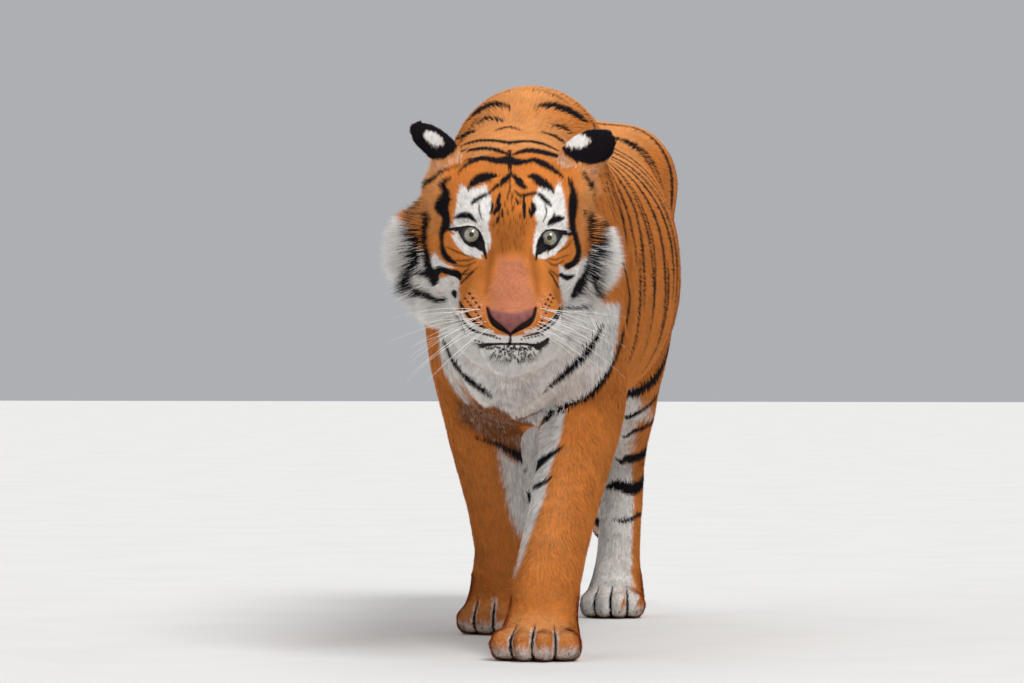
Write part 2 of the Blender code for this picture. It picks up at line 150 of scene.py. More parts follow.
def points_of(mesh):
    found = np.empty(len(mesh.vertices) * 3)
    mesh.vertices.foreach_get("co", found)
    return found.reshape(-1, 3)


def normals_of(mesh):
    found = np.empty(len(mesh.vertices) * 3, np.float32)
    mesh.vertex_normals.foreach_get("vector", found)
    return found.reshape(-1, 3).astype(float)


def edges_of(mesh):
    found = np.empty(len(mesh.edges) * 2, np.int32)
    mesh.edges.foreach_get("vertices", found)
    return found.reshape(-1, 2)


def triangles_of(mesh):
    mesh.calc_loop_triangles()
    found = np.empty(len(mesh.loop_triangles) * 3, np.int32)
    mesh.loop_triangles.foreach_get("vertices", found)
    return found.reshape(-1, 3)


def put_points(mesh, places):
    mesh.vertices.foreach_set("co", np.ascontiguousarray(places, np.float32).ravel())
    mesh.update()


def shade_smooth(mesh):
    mesh.polygons.foreach_set("use_smooth", np.ones(len(mesh.polygons), bool))


def put_layer(mesh, name, values):
    """Keeps numbers or vectors on a mesh under a name that shaders read."""
    kind, field = ("FLOAT_VECTOR", "vector") if values.ndim > 1 else ("FLOAT", "value")
    layer = mesh.attributes.new(name, kind, "POINT")
    layer.data.foreach_set(field, np.ascontiguousarray(values, np.float32).ravel())


def get_layer(mesh, name):
    layer = mesh.attributes[name]
    width = 3 if layer.data_type == "FLOAT_VECTOR" else 1
    found = np.empty(len(layer.data) * width, np.float32)
    layer.data.foreach_get("vector" if width == 3 else "value", found)
    return found.reshape(-1, width).squeeze().astype(float)


def blurred(edges, values, rounds, share=0.5):
    """Values evened out between neighbours. share may be a number for each vertex."""
    flat = values.reshape(len(values), -1).copy()
    count = len(flat)
    degree = np.maximum(np.bincount(edges.ravel(), minlength=count), 1)[:, None]
    share = np.broadcast_to(np.asarray(share, float).reshape(-1, 1), (count, 1))
    for _ in range(rounds):
        mean = np.empty_like(flat)
        for k in range(flat.shape[1]):
            column = flat[:, k]
            mean[:, k] = np.bincount(edges[:, 0], column[edges[:, 1]], count)
            mean[:, k] += np.bincount(edges[:, 1], column[edges[:, 0]], count)
        flat += share * (mean / degree - flat)
    return flat.reshape(values.shape)


def new_mesh(name, places, corners, sides):
    """A mesh from arrays: its points, and the corners of faces that all have as many sides."""
    mesh = bpy.data.meshes.new(name)
    mesh.vertices.add(len(places))
    mesh.vertices.foreach_set("co", np.ascontiguousarray(places, np.float32).ravel())
    mesh.loops.add(len(corners))
    mesh.loops.foreach_set("vertex_index", np.ascontiguousarray(corners, np.int32))
    mesh.polygons.add(len(corners) // sides)
    mesh.polygons.foreach_set("loop_start", np.arange(0, len(corners), sides, dtype=np.int32))
    mesh.update(calc_edges=True)
    return mesh


def new_object(name, mesh):
    item = bpy.data.objects.new(name, mesh)
    bpy.context.scene.collection.objects.link(item)
    return item


def evaluated_mesh(item):
    graph = bpy.context.evaluated_depsgraph_get()
    return bpy.data.meshes.new_from_object(item.evaluated_get(graph))


# ---------------------------------------------------------------- shader writing

class Value:
    """A shader socket that takes part in Python expressions."""

    def __init__(self, paint, socket):
        self.paint = paint
        self.socket = socket

    def math(self, operation, first, second=0.0):
        return self.paint.node("Math", {"operation": operation}, {0: first, 1: second})

    def __add__(self, other):
        return self.math("ADD", self, other)

    def __sub__(self, other):
        return self.math("SUBTRACT", self, other)

    def __mul__(self, other):
        return self.math("MULTIPLY", self, other)

    def __rsub__(self, other):
        return self.math("SUBTRACT", other, self)

    __radd__ = __add__
    __rmul__ = __mul__


NOISE_ROUGHNESS = 0.55


class Paint:
    """A material, written as expressions."""

    def __init__(self, name):
        self.material = bpy.data.materials.new(name)
        self.material.use_nodes = True
        self.tree = self.material.node_tree
        self.shader = self.tree.nodes["Principled BSDF"]

    def node(self, kind, settings=None, inputs=None, output=0):
        """A node of a type, with its settings made first and then its sockets' values and links."""
        made = self.tree.nodes.new("ShaderNode" + kind)
        for name, value in (settings or {}).items():
            if name == "stops":
                elements = made.color_ramp.elements
                for _ in value[2:]:
                    elements.new(1.0)
                for element, (place, colour) in zip(elements, value):
                    element.position = place
                    element.color = (*colour[:3], 1)
            else:
                setattr(made, name, value)
        for key, value in (inputs or {}).items():
            self.feed(made.inputs[key], value)
        return Value(self, made.outputs[output])

    def feed(self, socket, value):
        if isinstance(value, Value):
            self.tree.links.new(value.socket, socket)
        elif socket.type == "RGBA":
            socket.default_value = (*tuple(value)[:3], 1)
        else:
            socket.default_value = value

    def mix(self, first, second, factor, blend="MIX"):
        settings = {"data_type": "RGBA", "blend_type": blend}
        return self.node("Mix", settings, {0: factor, 6: first, 7: second}, 2)

    def layer(self, name):
        return self.node("Attribute", {"attribute_name": name}, output="Fac")

    def vector_layer(self, name):
        return self.node("Attribute", {"attribute_name": name}, output="Vector")

    def step(self, value, low, high):
        settings = {"interpolation_type": "SMOOTHSTEP"}
        return self.node("MapRange", settings, {"Value": value, "From Min": low, "From Max": high})

    def place(self):
        return self.node("TexCoord", output="Object")

    def noise(self, scale, detail):
        inputs = {"Vector": self.place(), "Scale": scale, "Detail": detail, "Roughness": NOISE_ROUGHNESS}
        return self.node("TexNoise", inputs=inputs, output="Fac")

    def bump(self, height, distance, strength):
        return self.node("Bump", inputs={"Height": height, "Distance": distance, "Strength": strength})

    def finish(self, **sockets):
        """Sets the shader's sockets, named with underscores for spaces."""
        for name, value in sockets.items():
            self.feed(self.shader.inputs[name.replace("_", " ")], value)
        return self.material


# ---------------------------------------------------------------- the coat's lie, length and depth

# For a word in a node's name: length in mm, lift from the skin in degrees, width in mm,
# and the way the hair lies, in the model's axes.
COAT = [
    ("_ear", (10, 18, 1.0, (0, 0, 1))),
    ("eye", (4, 15, 0.8, (0, 1, 0))),
    ("jaw", (24, 24, 1.6, (0, 0.5, -1))),
    ("head", (12, 15, 1.3, (0, 1, 0))),
    ("nose", (3, 10, 0.8, (0, 1, 0))),
    ("neck", (21, 15, 2.0, (0, 1, -0.35))),
    ("chest", (21, 13, 2.0, (0, 1, -0.3))),
    ("barrel", (20, 12, 2.1, (0, 1, -0.25))),
    ("hindquarters", (20, 12, 2.1, (0, 1, -0.4))),
    ("shoulder", (18, 12, 1.9, (0, 0.55, -1))),
    ("forearm", (16, 12, 1.8, (0, 0.15, -1))),
    ("paw", (10, 12, 1.5, (0, -1, -0.5))),
    ("foot", (12, 12, 1.6, (0, 0.05, -1))),
    ("thigh", (18, 12, 1.9, (0, 0.6, -1))),
    ("shank", (17, 12, 1.8, (0, 0.3, -1))),
    ("tail_root", (24, 13, 2.2, (0, 0.5, -1))),
    ("tail_upper", (24, 13, 2.2, (0, 0.15, -1))),
    ("tail_lower", (24, 13, 2.2, (0, 0.35, -1))),
    ("tail_end", (26, 14, 2.2, (0, 1, 0.15))),
]

# How much each node's surface is evened out, from 0 to 1. Ears, paws and face keep their form.
SOFTNESS = [("_ear", 0.15), ("eye", 0.3), ("paw", 0.25), ("nose", 0.2), ("head", 0.45), ("jaw", 0.4),
            ("", 0.75)]


def by_word(table, name):
    return next(value for word, value in table if word in name)


# ---------------------------------------------------------------- the skin

GROWN = 0.6 * MM
SUNK = 0.85
SOLE_GAP = 0.3 * MM


def joined_flesh():
    """The solids as one cloud of faces, each grown a hair so that the parting gaps close."""
    places, corners, owners = [], [], []
    for index, name in enumerate(NODES):
        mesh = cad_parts[name].data
        triangles = triangles_of(mesh)
        rounded = np.round(points_of(mesh), 5)
        _, first, index_of = np.unique(rounded, axis=0, return_index=True, return_inverse=True)
        own = points_of(mesh)[first]
        triangles = index_of.reshape(-1)[triangles]
        side = own[triangles[:, 1]] - own[triangles[:, 0]]
        other = own[triangles[:, 2]] - own[triangles[:, 0]]
        outward = np.zeros_like(own)
        for corner in range(3):
            np.add.at(outward, triangles[:, corner], np.cross(side, other))
        corners.append(triangles + sum(map(len, places)))
        places.append(own + GROWN * unit(outward))
        owners += [index] * len(triangles)
    return np.vstack(places), np.vstack(corners), np.array(owners)


def remeshed(places, corners, voxel):
    item = new_object("flesh", new_mesh("flesh", places, corners.ravel(), 3))
    fuse = item.modifiers.new("Fuse", "REMESH")
    fuse.mode = "VOXEL"
    fuse.voxel_size = voxel
    mesh = evaluated_mesh(item)
    bpy.data.objects.remove(item)
    return mesh


def owners_of(places, tree, owners):
    """For each point, the index of the node it is nearest to."""
    return np.array([owners[tree.find_nearest(Vector(p))[2]] for p in places])


def to_head(places):
    """Points in the head's own frame, in millimetres."""
    inverse = np.array(HEAD.inverted())
    return (places @ inverse[:3, :3].T + inverse[:3, 3]) / MM


def refine(mesh, chosen):
    """Splits every face inside the chosen vertices in four."""
    work = bmesh.new()
    work.from_mesh(mesh)
    work.verts.ensure_lookup_table()
    edges = [e for e in work.edges if chosen[e.verts[0].index] and chosen[e.verts[1].index]]
    bmesh.ops.subdivide_edges(work, edges=edges, cuts=1, use_grid_fill=True)
    work.to_mesh(mesh)
    work.free()


def face_plane(places):
    """Right and up, in millimetres on the plane of the eyes, of points seen from the viewpoint."""
    away = places - VIEW_ROW
    depth = away @ -AIM_ROW
    plane = (FACE_ROW - VIEW_ROW) @ -AIM_ROW
    seen = away * (plane / depth)[:, None] + VIEW_ROW - FACE_ROW
    return np.stack([seen @ ACROSS_ROW, seen[:, 2]], axis=1) / MM


# The depth, in mm, given to what lies well outside every mark, and what is taken off a mark to end it.
OUTSIDE = -60.0
ENDED = 40
STROKE_MARGIN = 12


def stroke_depth(flat, strokes, depth=None):
    """The deepest that each point of a plane lies inside any of some tapering strokes, in mm."""
    depth = np.full(len(flat), OUTSIDE) if depth is None else depth.copy()
    for rows in strokes:
        line = curve_through(rows)
        low, high = line[:, :2].min(axis=0) - STROKE_MARGIN, line[:, :2].max(axis=0) + STROKE_MARGIN
        near = np.flatnonzero(((flat > low) & (flat < high)).all(axis=1))
        for start, end in zip(line, line[1:]):
            run = end[:2] - start[:2]
            away = flat[near] - start[:2]
            t = np.clip(away @ run / max(run @ run, 1e-9), 0, 1)
            gap = np.linalg.norm(away - t[:, None] * run, axis=1)
            depth[near] = np.maximum(depth[near], start[2] + t * (end[2] - start[2]) - gap)
    return depth


def inside_outline(points, outline):
    """Signed distance to a closed outline in its plane, above zero inside."""
    ends = np.roll(outline, -1, axis=0)
    gap = np.full(len(points), 1e9)
    crossings = np.zeros(len(points), int)
    for (x0, y0), (x1, y1) in zip(outline, ends):
        run = np.array([x1 - x0, y1 - y0])
        t = np.clip(((points - (x0, y0)) @ run) / max(run @ run, 1e-9), 0, 1)
        gap = np.minimum(gap, np.linalg.norm(points - (x0, y0) - t[:, None] * run, axis=1))
        spans = (points[:, 1] > y0) != (points[:, 1] > y1)
        at = x0 + (points[:, 1] - y0) * (x1 - x0) / (y1 - y0 if y1 != y0 else 1e-9)
        crossings += spans & (points[:, 0] < at)
    return np.where(crossings % 2 == 1, gap, -gap)


# The opening between the lids, in mm from the eye's middle: outwards from the nose, and up.
LID_OUTLINE = [(14.5, 4.5), (12, 9.5), (4, 10.7), (-4, 9.8), (-9, 5.5), (-13, -2), (-13.5, -9), (-8, -14.5),
               (2, -12.8), (9, -8.5), (15, -0.5)]
LID_RISE = 1.6

# The black skin and hair round each eye, in the same way.
EYE_RING = [(30, 11), (17, 12.2), (5, 14), (-5, 12.5), (-11, 7), (-17, -1), (-20, -12), (-20, -24),
            (-14, -25), (-7, -19.5), (3, -17.5), (10, -12), (16, -3), (20, 6)]
EYE_SURROUND = 0.042


def lid_curve():
    """The closed outline of the opening, measured along the eyeball."""
    rows = np.array(LID_OUTLINE + LID_OUTLINE[:3], float)
    flat = curve_through(rows)[5:-10] * MM / EYE_RADIUS
    out = np.linalg.norm(flat, axis=1, keepdims=True)
    return flat / out * np.arcsin(np.minimum(out, 0.97)) * EYE_RADIUS / MM


def eye_frame(name):
    """An eye's centre, and its axes outward from the nose, up, and along the gaze."""
    up = (Vector((0, 0, 1)) - GAZE * GAZE.z).normalized()
    return middle(name), ACROSS * side_of(name), up, GAZE


def shape_lids(places):
    """Wraps the skin round each eyeball, open where the lids part."""
    outline = lid_curve()
    for name in EYES:
        centre, out, up, gaze = (np.array(v) for v in eye_frame(name))
        away = (places - centre) / MM
        reach = np.linalg.norm(away, axis=1)
        heading = unit(away)
        ahead = heading @ gaze
        turn = np.arccos(np.clip(ahead, -1, 1)) / np.maximum(np.sqrt(1 - np.clip(ahead, -1, 1) ** 2), 1e-6)
        flat = np.stack([heading @ out, heading @ up], axis=1) * (turn * EYE_RADIUS / MM)[:, None]
        close = (ahead > -0.1) & (reach < 46)
        gap = np.full(len(places), 1e3)
        gap[close] = -inside_outline(flat[close], outline)
        lid = EYE_RADIUS / MM + LID_RISE * smooth_step(-0.5, 2.2, gap)
        sunk = EYE_RADIUS / MM - 1 + np.maximum(gap, -5)
        target = np.where(gap < 0, sunk, lid)
        share = 1 - smooth_step(1.5, 8.5, gap)
        share[~close] = 0
        moved = reach + share * (target - reach)
        places = places + heading * ((moved - reach) * MM)[:, None]
    return places


def eye_rings(places):
    """How far inside the black round an eye each point is, in mm."""
    found = np.full(len(places), OUTSIDE)
    for name in EYES:
        centre = np.array(middle(name))
        rows = np.flatnonzero(np.linalg.norm(places - centre, axis=1) < 0.06)
        flat = (face_plane(places[rows]) - face_plane(centre[None])) * (side_of(name), 1)
        found[rows] = np.maximum(found[rows], inside_outline(flat, np.array(EYE_RING, float)))
    return found


# ---------------------------------------------------------------- marks of the head

# Black marks, as (right, up, half width) in mm on the plane of the eyes, seen from the viewpoint.
# Right is the tiger's left side.
BLACK_MARKS = {
    "crown line": [(-76, 128, 1.1), (-58, 134, 1.7), (-40, 137, 2.1), (-20, 136, 2.1), (-1, 133, 2.5)],
    "crown line left": [(-1, 133, 2.5), (16, 135, 2.1), (30, 135, 2), (48, 131, 2), (68, 122, 1.1)],
    "second line": [(-87, 119, 1), (-69, 121, 2.1), (-50, 124, 2.3), (-34, 125, 2.6), (-18, 123, 2.6),
                    (-5, 119, 1.8)],
    "second line left": [(5, 118, 1.8), (16, 122, 2.6), (31, 123, 3), (48, 120, 3), (61, 116, 2.9),
                         (74, 113, 1.3)],
    "third line": [(-77, 92, 1), (-67, 102, 2.4), (-56, 108, 3.1), (-39, 112, 3.1), (-23, 109, 4.3),
                   (-2, 110, 6.2)],
    "third line above": [(-78, 104, 0.8), (-58, 112, 1.5), (-39, 114, 1.5), (-23, 113, 1.2)],
    "third line left": [(-2, 110, 6.2), (10, 107, 5.3), (22, 108, 3.4), (34, 110, 3.6), (45, 106, 4.6),
                        (57, 100, 4.6), (70, 91, 3.1), (78, 84, 1)],
    "parting": [(-1, 135, 1.7), (-1, 121, 2.6), (-2, 110, 4.3), (-1, 100, 2.9), (-1, 91, 1.4), (-1, 65, 1)],
    "lambda": [(-1, 91, 2.1), (-6, 83, 4.5), (-12, 78, 3.1), (-21, 73, 2.8), (-29, 65, 1.7), (-39, 60, 2.5),
               (-50, 54, 3.4), (-58, 47, 1.4)],
    "lambda left": [(1, 91, 2.1), (9, 82, 4.5), (18, 74, 3.9), (24, 70, 1.4)],
    "lambda lower left": [(6, 66, 1.2), (16, 60, 2.2), (29, 62, 2.2), (39, 63, 2.1), (48, 56, 3.3),
                          (56, 49, 2.8), (60, 44, 1.2)],
    "brow": [(-62, 69, 1.6), (-57, 75, 4), (-47, 83, 6.3), (-35, 86, 6.5), (-25, 87, 4.3), (-18, 87, 1.1)],
    "brow left": [(25, 87, 1.1), (34, 86, 5.2), (43, 80, 6.5), (52, 75, 5.4), (60, 69, 3.1), (64, 63, 1.1)],
    "fleck": [(-16, 62, 1.9), (-19, 50, 3.2)],
    "fleck 2": [(-15, 47, 2.2), (-19, 41, 3.8), (-24, 34, 2.6)],
    "fleck 3": [(-27, 50, 1.6), (-27, 40, 2.2), (-30, 33, 1.3)],
    "fleck 4": [(-18, 27, 2.2), (-20, 20, 1.6)],
    "fleck 5": [(-12, 39, 1.9), (-12, 30, 1.6)],
    "fleck left": [(19, 60, 1.6), (20, 44, 2.6), (20, 28, 1.9)],
    "fleck 2 left": [(32, 49, 1.9), (34, 40, 4.5), (30, 31, 2.2)],
    "fleck 3 left": [(27, 42, 1.3), (29, 33, 1.9)],
    "fleck 4 left": [(8, 56, 1.3), (11, 48, 1.9)],
    "inner brow": [(-46, 50, 0.8), (-46, 39, 1.1), (-42, 26, 0.8)],
    "inner brow left": [(49, 52, 0.8), (53, 36, 1), (48, 22, 0.7)],
    "lid mark": [(-82, 27, 1.4), (-72, 31, 3.8), (-61, 31, 4.3), (-55, 26, 2.6), (-50, 22, 1.2)],
    "lid mark left": [(77, 27, 2), (69, 26, 5), (61, 23, 4.5), (56, 19, 2)],
    "lid mark branch": [(64, 33, 1.4), (63, 27, 2.4)],
    "outer corner": [(-68, 11, 2.2), (-77, 11, 2.8), (-90, 11, 2.6)],
    "outer corner left": [(70, 7, 2.2), (78, 5, 2.8), (87, 4, 2.4)],
    "tear line": [(-43, -8, 3.4), (-40, -17, 3.6), (-37, -25, 2.4), (-35, -33, 0.8)],
    "tear line left": [(45, -13, 3.4), (41, -20, 3.4), (38, -28, 2.2), (37, -36, 0.8)],
    "temple": [(-89, 86, 1.9), (-100, 77, 4.9), (-95, 66, 5.1), (-98, 51, 9.5), (-100, 42, 8.9),
               (-94, 29, 6.2), (-95, 15, 6.5), (-100, 6, 4.3), (-100, -9, 3), (-98, -22, 4.3),
               (-91, -33, 4.3), (-80, -39, 1.9)],
    "temple left": [(86, 84, 2), (92, 66, 5), (92, 47, 7), (90, 28, 5.6), (91, 12, 4.5), (95, -2, 4.1),
                    (98, -21, 3.6), (94, -37, 4.1), (83, -44, 4.8)],
    "cheek": [(-116, 33, 2.8), (-120, 22, 6.8), (-122, 8, 5.8), (-122, -9, 5), (-119, -27, 4.8),
              (-116, -45, 4.8), (-110, -59, 7.5), (-110, -68, 3.5)],
    "cheek left": [(107, 36, 2), (111, 14, 5.9), (114, -7, 5.3), (110, -29, 3.6), (106, -51, 4.5),
                   (97, -72, 5.3), (88, -86, 2.8)],
    "cheek knot": [(-132, -50, 1.5), (-119, -54, 5.5), (-109, -55, 7), (-102, -48, 4.5), (-89, -52, 4.5),
                   (-77, -55, 5.2), (-73, -63, 1.8)],
    "cheek knot left": [(74, -56, 3.4), (83, -60, 4), (92, -57, 1.4)],
    "edge band": [(-121, 59, 1.7), (-133, 43, 2.7), (-141, 29, 2.7), (-146, 8, 5.4), (-144, -9, 7.8),
                  (-142, -24, 9.8), (-141, -39, 10.4), (-148, -57, 8.5), (-142, -66, 7.8), (-128, -78, 5.4),
                  (-110, -89, 5.1), (-93, -89, 3.2)],
    "edge band left": [(115, 47, 1.8), (123, 28, 2.8), (129, 3, 3.8), (128, -24, 7.2), (123, -48, 8.8),
                       (119, -69, 7.2), (129, -77, 5)],
    "under cheek": [(-82, -82, 4.2), (-80, -88, 2)],
    "under cheek left": [(80, -103, 2), (102, -100, 2.2), (121, -93, 1.2)],
    "ear line": [(-80, 103, 0.8), (-100, 96, 2), (-118, 78, 2.6), (-130, 58, 1.6)],
    "ear line left": [(104, 100, 0.8), (112, 84, 2), (120, 62, 2.6), (124, 46, 1.4)],
    "cheek line": [(-54, -52, 1), (-63, -60, 1.4), (-72, -68, 1.2)],
    "cheek line 2": [(-61, -47, 1), (-68, -53, 1.3), (-75, -59, 1.1)],
    "cheek line left": [(56, -52, 0.9), (62, -60, 1.3), (70, -75, 1.2)],
    "pad edge": [(-77, -109, 0.9), (-71, -122, 1.7), (-59, -135, 1.8), (-43, -142, 1.6), (-22, -146, 0.8)],
    "pad edge left": [(74, -109, 0.9), (66, -124, 1.7), (53, -136, 1.8), (40, -142, 1.6), (19, -147, 0.8)],
    "pad row": [(-73, -96, 1.4), (-67, -108, 1.8), (-60, -118, 2), (-49, -128, 1.9), (-38, -134, 1.4)],
    "pad row left": [(74, -99, 1.4), (70, -110, 1.8), (64, -120, 2), (52, -130, 1.9), (40, -137, 1.4)],
}

# Short rows of whisker spots: from one end to the other, how many, and the half width of each.
SPOT_ROWS = [
    ((-66, -91), (-40, -126), 8, 1.5),
    ((-60, -84), (-46, -104), 4, 1.8),
    ((62, -91), (43, -129), 8, 1.5),
    ((58, -86), (48, -106), 4, 1.8),
    ((-44, -142), (-16, -150), 7, 1.3),
    ((46, -144), (16, -151), 7, 1.3),
    ((-52, -152), (-30, -160), 5, 1.4),
    ((50, -153), (30, -160), 5, 1.4),
]

# Black skin of the mouth, and the nostrils painted black for the shade inside them, with how deep each
# furrow is in mm.
FURROWS = {
    "mouth": ([(-2, -158, 1.6), (-20, -158, 1.8), (-34, -159, 2.4), (-45, -162, 4.4), (-54, -163, 7.4),
               (-62, -152, 3)], 5),
    "mouth left": ([(-2, -158, 1.6), (20, -158, 1.8), (33, -160, 2.4), (40, -161, 4), (46, -162, 6.6),
                    (55, -151, 2.4)], 5),
    "lip cleft": ([(0, -144, 1.4), (0, -151, 1.6), (-1, -158, 1.8)], 4),
    "nostril": ([(-34, -106, 1.4), (-31, -117, 2.6), (-25, -126, 4.2), (-17, -132, 4.2), (-8, -138, 2.8),
                 (-2, -142, 1.4)], 8),
    "nostril left": ([(37, -106, 1.4), (34, -118, 2.6), (27, -127, 4.2), (18, -132, 4.2), (8, -138, 2.8),
                      (2, -142, 1.4)], 8),
}

NOSE_OUTLINE = [(-33, -106), (-25, -108), (-15, -111), (0, -113), (15, -111), (26, -108), (36, -106),
                (34, -119), (25, -130), (11, -140), (0, -146), (-10, -140), (-23, -130), (-31, -119)]

# White fur on the face, as outlines on the plane of the eyes, each with the softness of its edge in mm
# and how white it is.
PALE_PATCHES = [
    ([(-84, 15), (-82, 29), (-78, 48), (-78, 61), (-72, 76), (-62, 70), (-48, 71), (-36, 76), (-30, 61),
      (-26, 45), (-30, 29), (-33, 19), (-28, -4), (-30, -18), (-36, -4), (-43, 14), (-54, 19), (-69, 17)],
      4.5, 1.0),
    ([(82, 10), (83, 22), (80, 45), (78, 61), (71, 79), (63, 65), (52, 71), (41, 71), (33, 55), (33, 40),
      (39, 22), (37, 11), (34, -4), (34, -22), (39, -4), (46, 9), (58, 14), (70, 12)], 4.5, 1.0),
    ([(-87, 2), (-79, -13), (-68, -25), (-51, -31), (-41, -34), (-45, -21), (-61, -15), (-72, -6),
      (-79, 4)], 1.8, 1.0),
    ([(85, -2), (77, -14), (66, -26), (51, -33), (42, -33), (47, -22), (62, -16), (72, -8), (79, 1)],
      1.8, 1.0),
    ([(-108, -23), (-103, -33), (-93, -41), (-80, -46), (-111, -46), (-115, -33)], 3.0, 0.9),
    ([(-137, -15), (-127, -20), (-120, -46), (-133, -47), (-137, -33)], 3.0, 0.9),
    ([(-106, -62), (-85, -55), (-74, -62), (-76, -88), (-101, -80), (-108, -75)], 3.0, 0.8),
    ([(71, -41), (84, -49), (97, -41), (105, -28), (108, -43), (97, -67), (87, -83), (76, -88), (71, -70)],
      3.5, 0.9),
    ([(115, -12), (123, -15), (121, -49), (113, -70), (97, -85), (102, -70), (112, -49)], 3.0, 1.0),
    ([(-200, 25), (-152, 22), (-148, 0), (-151, -30), (-157, -60), (-150, -80), (-125, -92), (-98, -97),
      (-78, -100), (-77, -124), (-69, -145), (-64, -168), (-64, -240), (-200, -240)], 5.0, 1.0),
    ([(134, 19), (190, 10), (190, -240), (45, -240), (53, -168), (71, -137), (74, -111), (97, -103),
      (123, -90), (134, -82), (130, -59), (130, -20)], 5.0, 1.0),
    ([(-72, -106), (-62, -124), (-48, -136), (-30, -142), (0, -147), (30, -143), (50, -137), (64, -124),
      (76, -106), (90, -140), (75, -240), (-75, -240), (-90, -140)], 4.0, 1.0),
    ([(-80, -104), (-77, -98), (-70, -112), (-60, -124), (-44, -133), (-24, -138), (-24, -143), (-44, -141),
      (-62, -134), (-74, -121)], 1.8, 0.75),
    ([(78, -104), (74, -98), (66, -113), (54, -126), (40, -134), (20, -138), (20, -143), (40, -141),
      (56, -134), (68, -123)], 1.8, 0.75),
    ([(-66, -84), (-50, -76), (-36, -92), (-36, -112), (-44, -128), (-58, -118)], 9.0, 0.22),
    ([(64, -84), (50, -76), (38, -92), (38, -112), (44, -128), (56, -118)], 9.0, 0.22),
    ([(-150, 96), (-103, 122), (-78, 116), (-92, 100), (-108, 88), (-128, 70), (-150, 40)], 12.0, 0.28),
    ([(84, 112), (105, 113), (128, 100), (140, 60), (124, 68), (108, 96)], 12.0, 0.28),
]

# The bare-looking bridge of the nose, in short salmon fur, and the duskier fur above it.
BRIDGE_OUTLINE = [(-15, -32), (21, -32), (31, -69), (39, -100), (39, -118), (-35, -118), (-35, -100),
                  (-27, -69)]
DUSKY_OUTLINE = [(-26, 30), (26, 30), (31, 0), (25, -26), (-21, -26), (-31, 0)]

# Brown lines of the cheeks, written as the black marks are.
CHEEK_LINES = [
    [(-92, -16, 0.7), (-69, -26, 1.5), (-50, -29, 0.7)],
    [(-88, -35, 0.7), (-64, -35, 1.6), (-50, -32, 0.7)],
    [(-85, -42, 0.7), (-64, -43, 1.5), (-50, -37, 0.7)],
    [(-80, -54, 0.7), (-62, -55, 1.4), (-47, -45, 0.7)],
    [(51, -35, 0.7), (65, -42, 1.6), (78, -35, 0.7)],
    [(56, -48, 0.7), (69, -58, 1.5), (74, -64, 0.7)],
    [(61, -26, 0.7), (81, -16, 1.5), (88, -7, 0.7)],
    [(48, -30, 0.7), (63, -34, 1.4), (84, -27, 0.7)],
]

# Brown down each side of the bridge.
BRIDGE_SIDES = [
    ([(-33, -14), (-18, -14), (-22, -36), (-27, -66), (-30, -86), (-37, -86), (-37, -66), (-34, -36)],
      6.0, 0.8),
    ([(24, -14), (38, -14), (39, -36), (43, -66), (43, -86), (36, -86), (32, -66), (26, -36)], 6.0, 0.8),
]

# Short upright flecks: the middle and radii of the ellipse they are strewn in, how many, and the half width
# and height of each. The brown ones are between the eyes and the others are black.
BROWN_FLECKS = ((0, 24), (26, 44), 70, 1.1, 9)
CHIN_FLECKS = ((3, -172), (33, 10), 90, 1.1, 3)
LIP_FLECKS = ((3, -163), (40, 3.5), 60, 1.3, 2)
FLECK_SEED = 5


# ---------------------------------------------------------------- stripes of the body

class Stripe:
    """A band across the trunk: where it starts along the back, how it leans, bows and tapers."""

    def __init__(self, along, top, low, half, lean, bow, split, seed):
        self.along, self.top, self.low, self.half = along, top, low, half
        self.lean, self.bow, self.split, self.seed = lean, bow, split, seed

    def inside(self, along, turn):
        """Depth inside the stripe in mm, from mm along the back and a turn from 0 on top to 1 below."""
        t = np.clip((turn - self.top) / (self.low - self.top), 0, 1)
        wave = 5 * np.sin(7.1 * turn + 1.7 * self.seed) + 2.5 * np.sin(17 * turn + 3.1 * self.seed)
        centre = self.along + self.lean * turn + self.bow * np.sin(math.pi * turn) + wave
        taper = np.sin(math.pi * np.clip(t, 0.001, 0.999)) ** 0.45
        ragged = 1 + 0.12 * np.sin(31 * turn + 2.3 * self.seed)
        ended = np.maximum(self.top - turn, turn - self.low) * 500
        gap = np.abs(along - centre)
        if self.split:
            open_by = self.split * np.sin(math.pi * np.clip(t * 1.25 - 0.1, 0, 1)) ** 1.5
            gap = np.abs(gap - open_by)
        depth = self.half * taper * ragged * (0.66 if self.split else 1) - gap
        return np.where(ended > 0, np.minimum(depth, -ended), depth)


# Places along the trunk, in mm, and the seeds of its left and right sides.
TRUNK_START, NECK_END, SHOULDER_END, LOIN, TRUNK_END = -470.0, -330, -130, 300, 640
STRIPE_SEEDS = {1: 11, -1: 23}


